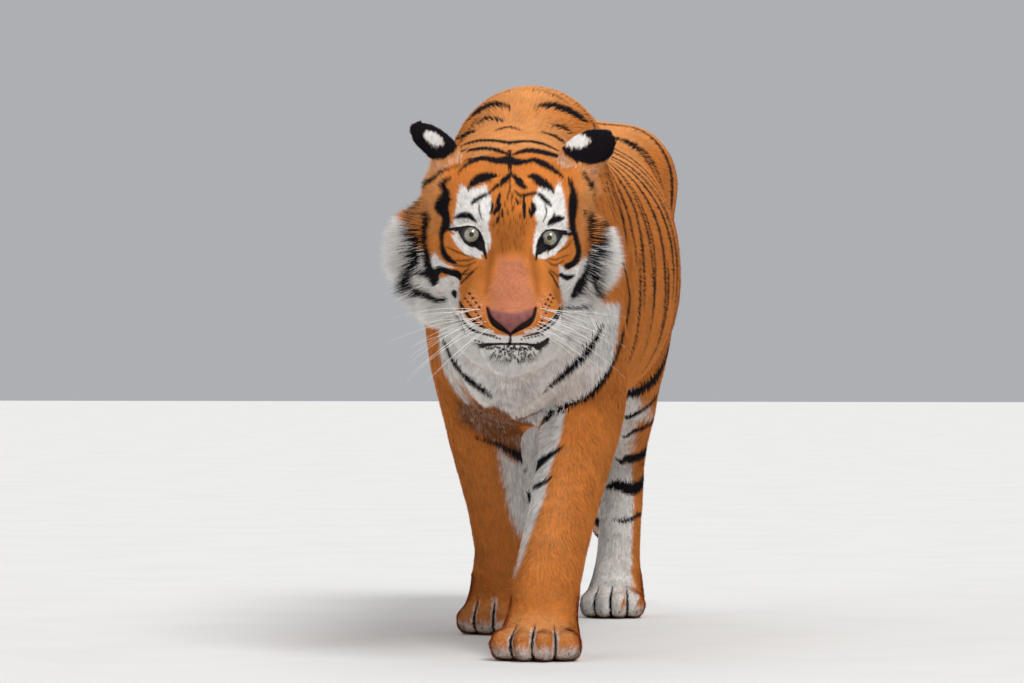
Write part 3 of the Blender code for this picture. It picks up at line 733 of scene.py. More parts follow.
def trunk_stripes(side):
    """The stripes of one side of the trunk, from the neck to the tail."""
    draw = np.random.default_rng(STRIPE_SEEDS[side])
    found = []
    along = TRUNK_START
    index = 0
    while along < TRUNK_END:
        on_neck, on_shoulder = along < NECK_END, NECK_END <= along < SHOULDER_END
        kind = index % 3
        half = draw.uniform(4.0, 5.2) if on_neck else draw.uniform(7.0, 9.5)
        low = draw.uniform(0.66, 0.80) if kind else draw.uniform(0.56, 0.66)
        if on_neck:
            low = draw.uniform(0.26, 0.42)
        if on_shoulder and kind:
            low = draw.uniform(0.40, 0.52)
        split = draw.uniform(11, 17) if kind == 1 and not on_neck else 0
        lean = draw.uniform(60, 130) if along > LOIN else draw.uniform(10, 60)
        top = draw.uniform(-0.02, 0.03)
        found.append(Stripe(along, top, low, half, lean, draw.uniform(-26, -4), split, index + 5 * side))
        if kind == 2 and not on_neck:
            short = draw.uniform(0.42, 0.54)
            found.append(Stripe(along + 31, short, short + 0.30, half * 0.8, lean, -16, 0, index + 40))
        along += draw.uniform(40, 48) if on_neck else draw.uniform(54, 70)
        index += 1
    return found


# Bands round the legs: height in mm, half width, the tilt of the band, and the turn from the outer side
# where it is widest and how far it reaches either way, in degrees.
LEG_BANDS = {
    "fore": [(430, 6, 30, 160, 90), (372, 7, 26, 165, 85), (318, 6.5, 22, 170, 80), (262, 5, 10, 165, 70)],
    "hind": [(492, 8, -42, 0, 110), (446, 9, -34, -10, 125), (400, 11.5, -26, -20, 135),
             (342, 11, -18, -20, 135), (305, 8.5, -14, -15, 130), (276, 5.5, -12, -10, 110),
             (246, 11, -10, -20, 135), (186, 11, -6, -25, 130), (128, 4, 0, -30, 80)],
}
TAIL_RING_STEP = 62


def leg_depth(places, normals, kind, side):
    """Depth inside the bands of a leg, in mm."""
    turn = np.degrees(np.arctan2(normals[:, 1], normals[:, 0] * side))
    height = places[:, 2] / MM
    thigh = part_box("left_thigh" if side > 0 else "right_thigh")[0]
    behind = np.maximum(places[:, 1] - thigh.y, 0) / MM * (kind == "hind")
    best = np.full(len(places), OUTSIDE)
    for index, (level, half, tilt, middle_turn, reach) in enumerate(LEG_BANDS[kind]):
        off = (turn - middle_turn + 180) % 360 - 180
        wave = 4 * np.sin(np.radians(turn * 3) + index * 1.9)
        rise = np.interp(level, (250, 460), (0.10, 1.05)) * behind
        centre = level + tilt * np.cos(np.radians(turn + 90)) + wave + rise
        taper = np.clip(1 - (np.abs(off) / reach) ** 2.2, 0, 1) ** 0.6
        depth = half * (taper * 1.3 - 0.3) - np.abs(height - centre)
        best = np.maximum(best, np.where(np.abs(off) < reach, depth, -np.abs(height - centre) - 4))
    return best


# ---------------------------------------------------------------- marks of the body seen from in front

# As the marks of the head: (right, up, half width) in mm on the plane of the eyes.
BODY_MARKS = {
    "chest": [(-96, -155, 1.6), (-80, -187, 3), (-60, -207, 4), (-38, -224, 3.6), (-26, -234, 1.4)],
    "chest left": [(134, -132, 2), (122, -156, 4.6), (102, -182, 5.4), (79, -202, 4.8), (59, -216, 3.4),
                   (46, -228, 1.2)],
    "shoulder line": [(161, -29, 0.8), (173, -86, 1.2), (167, -132, 1.8), (151, -184, 2.6),
                      (131, -219, 4.2), (111, -239, 4.8), (82, -254, 4.4), (59, -264, 4.2), (49, -274, 2)],
    "arm band": [(-51, -295, 1.4), (-25, -304, 3), (-2, -316, 5), (16, -326, 8), (30, -326, 8)],
    "arm spot": [(33, -296, 3.4), (32, -308, 3)],
    "arm band left": [(77, -312, 1.4), (59, -324, 4.2), (44, -335, 5.6), (34, -345, 6)],
    "arm band 2 left": [(60, -357, 1.4), (47, -366, 3.4), (34, -371, 4.2)],
    "hump arc": [(-66, 167, 1.9), (-42, 185, 3.5), (-22, 193, 3.5), (0, 190, 1.6)],
    "hump arc left": [(36, 190, 1.6), (59, 192, 4.1), (82, 185, 4.6), (102, 173, 3.8), (112, 166, 1.6)],
    "hump top": [(-24, 219, 1.3), (-5, 222, 2.9), (13, 218, 1.3)],
    "hump top left": [(50, 221, 1.8), (73, 216, 3.6), (93, 206, 3.9), (111, 193, 3.1), (125, 179, 1.6)],
    "nape": [(-78, 141, 1.6), (-62, 149, 3.1), (-50, 153, 1.3)],
    "nape 2": [(-48, 164, 1.3), (-31, 173, 2.3), (-10, 168, 1.3)],
    "nape left": [(59, 164, 1.3), (76, 159, 3.1), (91, 150, 1.3)],
    "nape 2 left": [(44, 150, 1.3), (65, 144, 2.9), (78, 135, 1.6)],
    "nape 3": [(-20, 152, 0.8), (-2, 157, 1.6), (14, 152, 0.8)],
}

# White on the chest and inside the forelegs, seen from in front.
CHEST_PALE = [
    ([(-104, -100), (-102, -176), (-94, -201), (-83, -222), (-65, -244), (-43, -250), (-22, -246),
      (0, -262), (20, -290), (36, -310), (46, -272), (67, -258), (101, -246), (126, -226), (147, -195),
      (155, -150), (160, -100)], 6.0, 1.0),
    ([(49, -271), (82, -256), (76, -287), (67, -321), (55, -357), (52, -382), (36, -425), (21, -468),
      (7, -505), (0, -511), (12, -468), (24, -425), (32, -382), (33, -339), (40, -302)], 5.0, 0.9),
    ([(-6, -345), (30, -336), (30, -382), (24, -425), (21, -443), (12, -419), (0, -376)], 5.0, 0.9),
]

# Painted shade: brown laid on the hair of the throat and brisket, where the lowered head shades them.
THROAT_SHADE = [
    ([(-75, -246), (-30, -244), (-12, -190), (50, -190), (48, -290), (30, -332), (2, -332), (-36, -297),
      (-70, -270)], 16.0, 1.0),
]
# Painted shade: the brisket between the forelegs, dark brown where the chest shades it.
BRISKET_SHADE = [
    ([(-80, -244), (-30, -246), (0, -262), (28, -292), (30, -334), (2, -334), (-36, -300), (-72, -272)],
      8.0, 1.0),
]

TRUNK_HEIGHT = 0.60
TAIL_LINE = [(0, 0.51, 0.78), (0, 0.6, 0.68), (0, 0.7, 0.46), (0, 0.8, 0.26), (0, 0.9, 0.135),
             (0, 1.02, 0.165)]
MARKS = ("stripe", "pale", "hue", "salmon")
LAYERS = (*MARKS, "leather", "dark", "length", "lift", "width", "part")

# Words in the names of the nodes of each region.
HEAD_NODES = ("head", "jaw", "nose", "eye")
ARM_NODES = ("shoulder", "forearm")
CHEST_NODES = ("neck", "chest", *ARM_NODES)
TRUNK_NODES = ("neck", "chest", "barrel", "hindquarters", "shoulder", "thigh")
HIND_NODES = ("thigh", "shank", "hind_foot", "hind_paw")


def part_mask(parts, *words):
    """Which points belong to a node with one of these words in its name."""
    wanted = [index for index, name in enumerate(NODES) if any(word in name for word in words)]
    return np.isin(parts, wanted)


def trunk_turn(places):
    """How far round the trunk each point is, from 0 on top to 1 below."""
    return np.arctan2(np.abs(places[:, 0]), places[:, 2] - TRUNK_HEIGHT) / math.pi


def trunk_depth(places):
    """Depth inside the stripes of the trunk, in mm."""
    turn = trunk_turn(places)
    depth = np.full(len(places), OUTSIDE)
    for side in (1, -1):
        rows = np.flatnonzero(places[:, 0] * side >= 0)
        for stripe in trunk_stripes(side):
            found = stripe.inside(places[rows, 1] / MM, turn[rows])
            depth[rows] = np.maximum(depth[rows], found)
    return depth


def along_tail(places):
    """How far down the tail each point is, in mm, and the tail's whole length."""
    line = curve_through(TAIL_LINE)
    steps = np.linalg.norm(np.diff(line, axis=0), axis=1)
    starts = np.concatenate([[0], np.cumsum(steps)])
    best, found = np.full(len(places), 1e9), np.zeros(len(places))
    for index, (start, end) in enumerate(zip(line, line[1:])):
        run = end - start
        t = np.clip((places - start) @ run / (run @ run), 0, 1)
        gap = np.linalg.norm(places - start - t[:, None] * run, axis=1)
        closer = gap < best
        best[closer] = gap[closer]
        found[closer] = starts[index] + t[closer] * steps[index]
    return found / MM, starts[-1] / MM


def tail_depth(places):
    """Depth inside the rings of the tail, in mm."""
    down, whole = along_tail(places)
    ring = np.abs((down - 40) % TAIL_RING_STEP - TAIL_RING_STEP / 2)
    wave = 3 * np.sin(9 * np.arctan2(places[:, 0], 0.1) + down / 50)
    thick = np.interp(down, [0, 300, whole], [7, 12, 15])
    return np.maximum(thick - ring + wave, (down - whole + 75) * 0.6)


def spots():
    """The rows of whisker spots, as short strokes."""
    found = []
    for start, end, count, half in SPOT_ROWS:
        for step in np.linspace(0, 1, count):
            right = start[0] + step * (end[0] - start[0])
            up = start[1] + step * (end[1] - start[1])
            found.append([(right, up, half), (right + 1.5, up - 1.0, half * 0.6)])
    return found


def flecks(centre, radii, count, half, tall):
    """Short upright strokes strewn in an ellipse on the plane of the eyes."""
    draw = np.random.default_rng(FLECK_SEED)
    turn, out = draw.uniform(0, 2 * math.pi, count), np.sqrt(draw.random(count))
    right = centre[0] + radii[0] * out * np.cos(turn)
    up = centre[1] + radii[1] * out * np.sin(turn)
    return [[(x, y, half * 0.5), (x, y - tall / 2, half), (x, y - tall, half * 0.4)]
            for x, y in zip(right, up)]


def outlined(flat, patches):
    """How far each point is inside any of some outlines, 0 to 1."""
    found = np.zeros(len(flat))
    for outline, soft, amount in patches:
        inside = inside_outline(flat, np.array(outline, float))
        found = np.maximum(found, amount * smooth_step(-soft, soft, inside))
    return found


PAWS = [name for name in NODES if name.endswith("paw")]
TOE_GAPS = (-0.52, 0.0, 0.52)
TOE_LENGTH = 0.056
TOE_HALF = 16.0
TOE_ROUND = 9.0


def toe_gap(places, name):
    """How far each point is from a paw's furrows in mm, and how far back along the toes, 0 to 1."""
    low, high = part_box(name)
    half = (high.x - low.x) / 2
    back = (places[:, 1] - low.y) / TOE_LENGTH
    across = (places[:, 0] - (low.x + high.x) / 2) / half
    spread = 1 - 0.28 * np.clip(back, 0, 1)
    gap = np.min([np.abs(across - at * spread) for at in TOE_GAPS], axis=0)
    return gap * half / MM, np.clip(back, 0, 1)


# Heights, in metres, over which the trunk's stripes and the hind leg's bands end on the thigh, and the two
# waves along the back that make the ends uneven, as height and turns for each metre.
TRUNK_MARKS_END = (0.62, 0.56)
LEG_BANDS_END = (0.56, 0.66)
UNEVEN_ENDS = ((0.034, 46), (0.020, 99))
# The half width in mm of the painted shade in the gaps between the toes, at their front.
TOE_SHADE = 3.2


def trunk_and_limbs(places, normals, parts, facing):
    """Depth inside the stripes of everything behind the head, in mm."""
    stripe = np.full(len(places), OUTSIDE)
    side = np.where(places[:, 0] >= 0, 1, -1)
    trunk = np.flatnonzero(part_mask(parts, *TRUNK_NODES, "tail_root"))
    depth = trunk_depth(places[trunk])
    upper_leg = part_mask(parts[trunk], "shoulder", "thigh")
    uneven = places[:, 2] + sum(high * np.sin(rate * places[:, 1]) for high, rate in UNEVEN_ENDS)
    depth -= np.where(upper_leg, ENDED * smooth_step(*TRUNK_MARKS_END, uneven[trunk]), 0)
    shown = smooth_step(0.30, 0.62, facing[trunk]) * smooth_step(-0.10, -0.30, places[trunk, 1])
    under_head = smooth_step(-0.50, -0.60, places[trunk, 1]) * smooth_step(0.78, 0.70, places[trunk, 2])
    stripe[trunk] = depth - ENDED * np.maximum(shown, under_head)

    for kind, words in (("fore", ARM_NODES), ("hind", HIND_NODES)):
        rows = np.flatnonzero(part_mask(parts, *words))
        found = np.full(len(rows), OUTSIDE)
        for which in (1, -1):
            own = side[rows] == which
            found[own] = leg_depth(places[rows[own]], normals[rows[own]], kind, which)
        if kind == "fore":
            found -= ENDED * smooth_step(-0.25, 0.05, facing[rows])
        else:
            found -= ENDED * smooth_step(*LEG_BANDS_END, uneven[rows])
        stripe[rows] = np.maximum(stripe[rows], found)

    tail = np.flatnonzero(part_mask(parts, "tail_upper", "tail_lower", "tail_end"))
    stripe[tail] = tail_depth(places[tail])
    # Painted shade: a black line down each gap between the toes, widest at the front.
    for name in PAWS:
        rows = np.flatnonzero(part_mask(parts, name))
        gap, back = toe_gap(places[rows], name)
        line = TOE_SHADE * (1 - back) ** 0.7 - gap
        stripe[rows] = np.where((back < 1) & (places[rows, 2] < 0.055), line, stripe[rows])
    return stripe


def pale_body(places, normals, parts, facing, flat):
    """White of the chest, belly, inner legs and toes, 0 to 1, held back where shade is painted under the
    head and chest.
    """
    pale = np.zeros(len(places))
    side = np.where(places[:, 0] >= 0, 1, -1)
    outward = normals[:, 0] * side
    front = part_mask(parts, "neck", "chest") & (places[:, 1] < -0.30) | part_mask(parts, *ARM_NODES)
    pale[front] = outlined(flat[front], CHEST_PALE) * smooth_step(0.05, 0.3, facing[front])
    # Painted shade: the white is dimmed on the throat and kept beige-brown on the brisket, where the head
    # and chest shade them.
    pale[front] *= 1 - 0.22 * outlined(flat[front], THROAT_SHADE)
    pale[front] = np.maximum(pale[front], 0.24 * outlined(flat[front], BRISKET_SHADE))
    belly = smooth_step(0.80, 0.88, trunk_turn(places)) * smooth_step(-0.1, -0.5, normals[:, 2])
    # Painted shade: no belly white under the front of the chest, which is left orange as if in shade.
    belly *= smooth_step(-0.18, -0.04, places[:, 1])
    trunk = part_mask(parts, *TRUNK_NODES)
    pale[trunk] = np.maximum(pale, belly)[trunk]
    fore = part_mask(parts, *ARM_NODES)
    # Painted shade: the white inside the forelegs fades out between 0.28 and 0.38 m high, leaving the part
    # in the chest's shade orange.
    inner = smooth_step(-0.45, -0.85, outward) * smooth_step(0.38, 0.28, places[:, 2])
    inner *= smooth_step(0.13, 0.20, places[:, 2])
    pale[fore] = np.maximum(pale, 0.9 * inner)[fore]
    hind = part_mask(parts, *HIND_NODES)
    inner = smooth_step(-0.1, -0.6, outward) * smooth_step(0.62, 0.48, places[:, 2])
    ahead = smooth_step(0.0, 0.5, -normals[:, 1]) * smooth_step(0.52, 0.42, places[:, 2])
    ahead *= smooth_step(0.85, 0.50, outward)
    pale[hind] = np.maximum(pale, np.maximum(inner, 0.85 * ahead))[hind]
    toes = part_mask(parts, "paw")
    tips = smooth_step(0.036, 0.012, places[:, 2]) * smooth_step(-0.2, 0.4, facing)
    for name in PAWS:
        rows = np.flatnonzero(part_mask(parts, name) & (places[:, 2] < 0.06))
        gap, back = toe_gap(places[rows], name)
        tips[rows] = np.maximum(tips[rows], 0.9 * smooth_step(8, 4, gap) * smooth_step(0.9, 0.5, back))
    pale[toes] = np.maximum(pale, 0.62 * tips)[toes]
    # Painted shade: the white is taken off the shaded brisket between the forelegs.
    chest = part_mask(parts, "chest", "barrel", *ARM_NODES) & (places[:, 1] < 0)
    pale[chest] = np.minimum(pale[chest], 1 - 0.76 * outlined(flat[chest], BRISKET_SHADE))
    tail = part_mask(parts, "tail")
    pale[tail] = 0.55 * smooth_step(0.2, -0.7, normals[tail, 1])
    return pale


# Marks higher than this on the plane of the eyes run on over the nape.
CROWN_HEIGHT = 108

# The white spot on the back of each ear, on the plane of the eyes: right, up and slant. Then the black.
EAR_SPOTS = {"left_ear": (99, 140, 0.10), "right_ear": (-114, 144, -0.62)}
EAR_BLACKS = {
    "left_ear": [(75, 134), (88, 152), (100, 166), (114, 178), (144, 176), (162, 156), (160, 130),
                 (138, 112), (115, 106), (98, 110), (82, 121)],
    "right_ear": [(-158, 184), (-132, 192), (-96, 164), (-76, 140), (-84, 124), (-98, 115), (-114, 115),
                  (-133, 125), (-150, 143)],
}

# Strokes aren't drawn on the head where it faces further away than this.
TURNED_AWAY = -0.35

# The hue of most of the coat and of the legs below the elbow and knee, between gold and russet.
HUE = 0.46
LEG_HUE = 0.42


def ear_marks(places, normals, parts, found):
    """Ears black behind with a white spot, orange round the root, and pale inside."""
    for name, (right, up, lean) in EAR_SPOTS.items():
        rows = np.flatnonzero(part_mask(parts, name))
        behind = (normals[rows] @ AIM_ROW + 0.4 * normals[rows, 2]) > -0.15
        flat = face_plane(places[rows])
        black = inside_outline(flat, np.array(EAR_BLACKS[name], float))
        flat = flat - (right, up)
        along, across = flat[:, 0] + lean * flat[:, 1], flat[:, 1] - lean * flat[:, 0]
        uneven = 0.10 * np.sin(along * 0.9) + 0.06 * np.sin(across * 2.3)
        spot = smooth_step(1.14, 0.86, np.hypot(along / 18, across / 9) + uneven)
        found["stripe"][rows] = np.where(behind, np.minimum(black, 12) - 30 * spot, -20)
        found["pale"][rows] = np.where(behind, np.maximum(spot, 0.35 * smooth_step(0, -6, black)), 0.6)
        found["hue"][rows] = 0.2
        found["salmon"][rows] = 0


def black_marks(stripe, places, parts, flat, facing, outward, head):
    """Lays the listed black marks over the stripes, on the head and the front of the body."""
    arm = part_mask(parts, *ARM_NODES)
    seen = facing > np.where(outward > 0, 0.14, np.where(arm, -0.7, -0.2))
    ahead = (places[:, 1] < -0.25) | (arm & (outward < 0))
    found = stripe.copy()
    front = np.flatnonzero(~head & ahead & seen)
    crown = [rows for rows in BLACK_MARKS.values() if min(row[1] for row in rows) > CROWN_HEIGHT]
    found[front] = stroke_depth(flat[front], [*BODY_MARKS.values(), *crown], found[front])
    front = np.flatnonzero(head & (facing > TURNED_AWAY))
    black = [*BLACK_MARKS.values(), *spots(), *flecks(*CHIN_FLECKS), *flecks(*LIP_FLECKS)]
    found[front] = stroke_depth(flat[front], black, found[front])
    found[head] = np.maximum(found, eye_rings(places))[head]
    return found


def pale_head(places, local, flat, facing, shown, head):
    """White of the head, 0 to 1: on the face, the ruff's edge, the throat, and behind the cheeks."""
    under = smooth_step(-92, -112, local[:, 2]) * smooth_step(0.2, -0.2, facing)
    behind = smooth_step(112, 135, np.abs(local[:, 0])) * smooth_step(30, -10, local[:, 2])
    edge = smooth_step(96, 108, np.abs(flat[:, 0])) * smooth_step(-16, -44, flat[:, 1])
    lower = smooth_step(68, 80, np.abs(flat[:, 0])) * smooth_step(-74, -84, flat[:, 1])
    patches = np.maximum(outlined(flat[head], PALE_PATCHES), 0.9 * np.maximum(edge, lower)[head])
    patches = np.maximum(patches, smooth_step(-7, -2, eye_rings(places[head])))
    turned = smooth_step(TURNED_AWAY, 0.0, facing[head])
    return np.maximum(patches * turned, np.maximum(under, behind * (1 - shown))[head])


def hue_of(places, normals, parts, local, flat, facing, shown, outward, head):
    """From the palest orange at 0 to the brownest at 1, with painted light on the tops and painted shade
    under the head and chest.
    """
    hue = np.full(len(places), HUE)
    hue[part_mask(parts, "forearm", "shank", "foot", "paw")] = LEG_HUE
    # Painted light: surfaces of the body that face up are made more golden, as if lit from above.
    hue[~head] -= 0.26 * smooth_step(0.35, 1.0, normals[~head, 2])
    # Painted shade: the underside of the brisket, facing down, is made browner.
    brisket = smooth_step(-0.6, -0.95, normals[:, 2]) * smooth_step(-0.04, -0.18, places[:, 1])
    brisket *= smooth_step(0.36, 0.40, places[:, 2]) * smooth_step(0.13, 0.09, np.abs(places[:, 0]))
    hue[~head] += (0.40 * brisket)[~head]
    # Painted shade: the throat's hair turns browner where the head shades it.
    chest = part_mask(parts, *CHEST_NODES) & (places[:, 1] < -0.30)
    hue[chest] += 0.45 * outlined(flat[chest], THROAT_SHADE) * smooth_step(-0.2, 0.2, facing[chest])
    # Painted shade: the brisket's hair turns russet brown where the chest shades it.
    inside = part_mask(parts, *CHEST_NODES, "barrel") & (places[:, 1] < 0) & (outward < 0.5)
    hue[inside] = np.maximum(hue[inside], 0.9 * outlined(flat[inside], BRISKET_SHADE))

    dusky = outlined(flat[head], [(DUSKY_OUTLINE, 20.0, 1.0), *BRIDGE_SIDES]) * shown[head]
    lines = stroke_depth(flat[head], [*flecks(*BROWN_FLECKS), *CHEEK_LINES])
    dusky = np.maximum(0.7 * dusky, 1.15 * smooth_step(-0.9, 0.9, lines) * shown[head])
    fringe = smooth_step(88, 116, np.abs(local[head, 0])) * smooth_step(-50, 10, local[head, 2])
    hue[head] = HUE + 0.42 * dusky - 0.30 * fringe
    return hue


def nose_leather(local, flat, facing, head):
    """Bare leather of the nose, 0 to 1, with its upper edge the softest."""
    leather = np.zeros(len(flat))
    pad = np.flatnonzero(head & (local[:, 1] < -95))
    inside = inside_outline(flat[pad], np.array(NOSE_OUTLINE, float))
    soft = np.where(flat[pad, 1] > -114, 3.5, 1.0)
    leather[pad] = smooth_step(-1.2, 0.8, inside / soft) * smooth_step(-0.25, 0.05, facing[pad])
    return leather


def marks_of(places, normals, parts):
    """The coat's markings anywhere on the skin: black, white, hue, salmon bridge and bare leather, with
    painted shade in the white and the hue and painted light in the hue.
    """
    flat, local = face_plane(places), to_head(places)
    facing = normals @ AIM_ROW
    shown = smooth_step(0.0, 0.25, facing)
    head = part_mask(parts, *HEAD_NODES)
    outward = normals[:, 0] * np.sign(places[:, 0])
    stripe = trunk_and_limbs(places, normals, parts, facing)
    stripe = black_marks(stripe, places, parts, flat, facing, outward, head)
    pale = pale_body(places, normals, parts, facing, flat)
    pale[head] = pale_head(places, local, flat, facing, shown, head)
    hue = hue_of(places, normals, parts, local, flat, facing, shown, outward, head)
    salmon = np.zeros(len(places))
    salmon[head] = outlined(flat[head], [(BRIDGE_OUTLINE, 14.0, 1.0)]) * shown[head]
    leather = nose_leather(local, flat, facing, head)
    found = {"stripe": stripe, "pale": pale, "hue": hue, "salmon": salmon, "leather": leather}
    ear_marks(places, normals, parts, found)
    return found


def head_coat(local):
    """Length in mm and lift in degrees of the hair on the head, from its place in the head's own frame."""
    reach = np.linalg.norm(local - (0, -160, -80), axis=1)
    length = np.interp(reach, [15, 45, 80, 120, 160, 210, 270], [2.4, 3.4, 4.6, 6.0, 7.0, 9, 15])
    ruff = smooth_step(96, 132, np.abs(local[:, 0])) * smooth_step(-20, 55, local[:, 1])
    ruff *= smooth_step(100, 55, local[:, 2])
    cheek = smooth_step(70, 100, np.abs(local[:, 0])) * smooth_step(10, -60, local[:, 2])
    throat = smooth_step(-85, -120, local[:, 2]) * smooth_step(-110, -30, local[:, 1])
    chin = smooth_step(-112, -132, local[:, 2]) * smooth_step(-60, -110, local[:, 1])
    length += (14 + 14 * smooth_step(40, -10, local[:, 2])) * ruff + 6 * cheek + 14 * throat + 12 * chin
    return length, 13 + 15 * ruff + 6 * throat + 14 * chin


def coat_of(places, parts):
    """Length, lift and width of the coat at each vertex, and the way it lies."""
    rows = np.array([by_word(COAT, name)[:3] for name in NODES])[parts]
    lie = np.array([by_word(COAT, name)[3] for name in NODES], float)[parts]
    head = part_mask(parts, *HEAD_NODES)
    local = to_head(places[head])
    rows[head, 0], rows[head, 1] = head_coat(local)
    rows[head, 2] = np.interp(rows[head, 0], [2, 8, 16, 40], [0.7, 1.0, 1.2, 1.3])
    away = unit(local - (0, -172, -72))
    outward = smooth_step(75, 120, np.abs(local[:, 0]))[:, None]
    away += outward * (0.35, 0.1, -0.75) * np.where(local[:, :1] < 0, (-1, 1, 1), 1)
    lie[head] = away @ np.array(HEAD)[:3, :3].T
    for name, lean in (("left_ear", 0.35), ("right_ear", -0.35)):
        lie[part_mask(parts, name)] = (lean, 0.1, 1)
    return rows, unit(lie)


def tangent(vectors, normals):
    """Vectors laid flat on the skin."""
    return unit(vectors - (vectors * normals).sum(axis=1, keepdims=True) * normals)


def smoothed(mesh, share, rounds):
    put_points(mesh, blurred(edges_of(mesh), points_of(mesh), rounds, share))


def cut_furrows(places, normals, parts):
    """Presses nostrils, lips and the gaps between toes into the skin, and says how dark each point is."""
    dark = np.zeros(len(places))
    face = np.flatnonzero((to_head(places)[:, 1] < -70) & (normals @ AIM_ROW > 0))
    flat = face_plane(places[face])
    for rows, depth in FURROWS.values():
        inside = stroke_depth(flat, [rows])
        press = depth * smooth_step(-2.4, 1.8, inside)
        places[face] -= AIM_ROW * (press * MM)[:, None]
        dark[face] = np.maximum(dark[face], smooth_step(-1.2, 0.6, inside))
    for name in PAWS:
        rows = np.flatnonzero(part_mask(parts, name) & (places[:, 2] < 0.075))
        gap, back = toe_gap(places[rows], name)
        across = 1 - np.clip(gap / TOE_HALF, 0.02, 1)
        press = TOE_ROUND * (1 - np.sqrt(1 - across**2)) * (1 - back**2)
        press *= smooth_step(0.080, 0.050, places[rows, 2])
        places[rows] -= normals[rows] * (press * MM)[:, None]
    return dark


# Soft swellings and hollows of the face in the head's own frame: middle, radii, and rise, all in mm.
FACE_FORMS = [
    ((36, -118, -88), (26, 30, 22), 5.0),
    ((-36, -118, -88), (26, 30, 22), 5.0),
    ((58, -8, 26), (26, 24, 12), 3.0),
    ((-58, -8, 26), (26, 24, 12), 3.0),
    ((0, -60, -18), (12, 60, 30), 1.5),
    ((0, -10, 30), (7, 26, 26), -1.5),
    ((34, -42, -16), (10, 22, 14), -3.0),
    ((-34, -42, -16), (10, 22, 14), -3.0),
    ((158, 85, 10), (45, 80, 42), -17.0),
    ((-158, 85, 18), (45, 80, 40), -15.0),
]


def mould_face(places, normals):
    """Adds the soft forms of the face."""
    local = to_head(places)
    rise = np.zeros(len(places))
    for centre, radii, height in FACE_FORMS:
        spread = (((local - centre) / radii) ** 2).sum(axis=1)
        rise += height * np.exp(-spread)
    return places + normals * (rise * MM)[:, None]


def build_skin(voxel):
    """The skin under the coat, with every marking and the coat's lie kept on it."""
    solids, corners, owners = joined_flesh()
    owner_tree = BVHTree.FromPolygons(solids.tolist(), corners.tolist())
    mesh = remeshed(solids, corners, voxel)
    parts = owners_of(points_of(mesh), owner_tree, owners)
    softness = np.array([by_word(SOFTNESS, name) for name in NODES])[parts]
    smoothed(mesh, blurred(edges_of(mesh), softness, 3), 16)

    parts = owners_of(points_of(mesh), owner_tree, owners)
    refine(mesh, part_mask(parts, *HEAD_NODES, "_ear", "paw"))
    local = to_head(points_of(mesh))
    smoothed(mesh, np.where(local[:, 1] < 160, 0.4, 0.1), 2)
    normals = normals_of(mesh)
    local = to_head(points_of(mesh))
    fine = (normals @ AIM_ROW > -0.1) & (local[:, 1] < 130) & (np.abs(local[:, 0]) < 150)
    fine &= (local[:, 2] > -135) & (local[:, 2] < 125)
    refine(mesh, fine)
    local = to_head(points_of(mesh))
    smoothed(mesh, np.where((local[:, 1] < 120) & (np.abs(local[:, 0]) < 140), 0.4, 0.0), 3)
    places = points_of(mesh)
    from_eyes = [np.linalg.norm(places - middle(name), axis=1) for name in EYES]
    refine(mesh, np.min(from_eyes, axis=0) < EYE_SURROUND)

    places, normals = points_of(mesh), normals_of(mesh)
    parts = owners_of(places, owner_tree, owners)
    rows, lie = coat_of(places, parts)
    edges = edges_of(mesh)
    rows = blurred(edges, rows, 8)
    depth = rows[:, 0] * np.sin(np.radians(rows[:, 1])) * SUNK
    places = places - normals * (blurred(edges, depth, 6) * MM)[:, None]
    put_points(mesh, places)
    places = mould_face(places, normals_of(mesh))
    places = shape_lids(places)
    dark = cut_furrows(places, normals, parts)
    places[:, 2] = np.maximum(places[:, 2], SOLE_GAP)
    put_points(mesh, places)

    normals = normals_of(mesh)
    marks = marks_of(places, normals, parts)
    dark = np.maximum(dark, smooth_step(-0.8, 0.8, eye_rings(places)))
    kept = dict(marks, dark=dark, length=rows[:, 0], lift=rows[:, 1], width=rows[:, 2], part=parts)
    for name in LAYERS:
        put_layer(mesh, name, kept[name].astype(float))
    put_layer(mesh, "lie", tangent(blurred(edges, lie, 10), normals))
    shade_smooth(mesh)
    return mesh


# ---------------------------------------------------------------- finishes

def fur_colour(paint, colours, shade):
    """The coat's colour from its markings. shade runs from 0 to 1 and varies from tuft to tuft."""
    patches = paint.noise(9, 2)
    stops = [(0, colours.gold), (0.45, colours.orange), (0.85, colours.russet)]
    hue = paint.layer("hue") + (patches - 0.5) * 0.16 + (shade - 0.5) * 0.24
    base = paint.node("ValToRGB", {"stops": stops}, {"Fac": hue})
    salmon = paint.step(paint.layer("salmon") + (patches - 0.5) * 0.5 + (shade - 0.5) * 0.5, 0.1, 0.9)
    base = paint.mix(base, colours.bridge, salmon)
    pale = paint.step(paint.layer("pale") + (shade - 0.5) * 0.45, 0.15, 0.85)
    base = paint.mix(base, colours.white, pale)
    ragged = (paint.noise(260, 2) - 0.5) * 1.4 + (shade - 0.5) * 1.2
    black = paint.step(paint.layer("stripe") + ragged, -0.9, 0.9)
    return paint.mix(base, colours.black, black)


def coat_finish(name, colours):
    """Dry hair, with painted shade dark at the root and lighter to the tip."""
    paint = Paint(name)
    shade = paint.layer("shade")
    colour = fur_colour(paint, colours, shade)
    # Painted shade: each tuft is dark at its root and light at its tip; tone also differs at random by
    # tuft, clump and place.
    light = 0.60 + paint.layer("tip") * 0.42 + (shade - 0.5) * 0.46 + (paint.noise(34, 4) - 0.5) * 0.5
    grey = paint.node("CombineColor", inputs={0: light, 1: light, 2: light})
    colour = paint.mix(colour, grey, 1.0, "MULTIPLY")
    return paint.finish(Base_Color=colour, Roughness=0.92, Specular_IOR_Level=0.06)


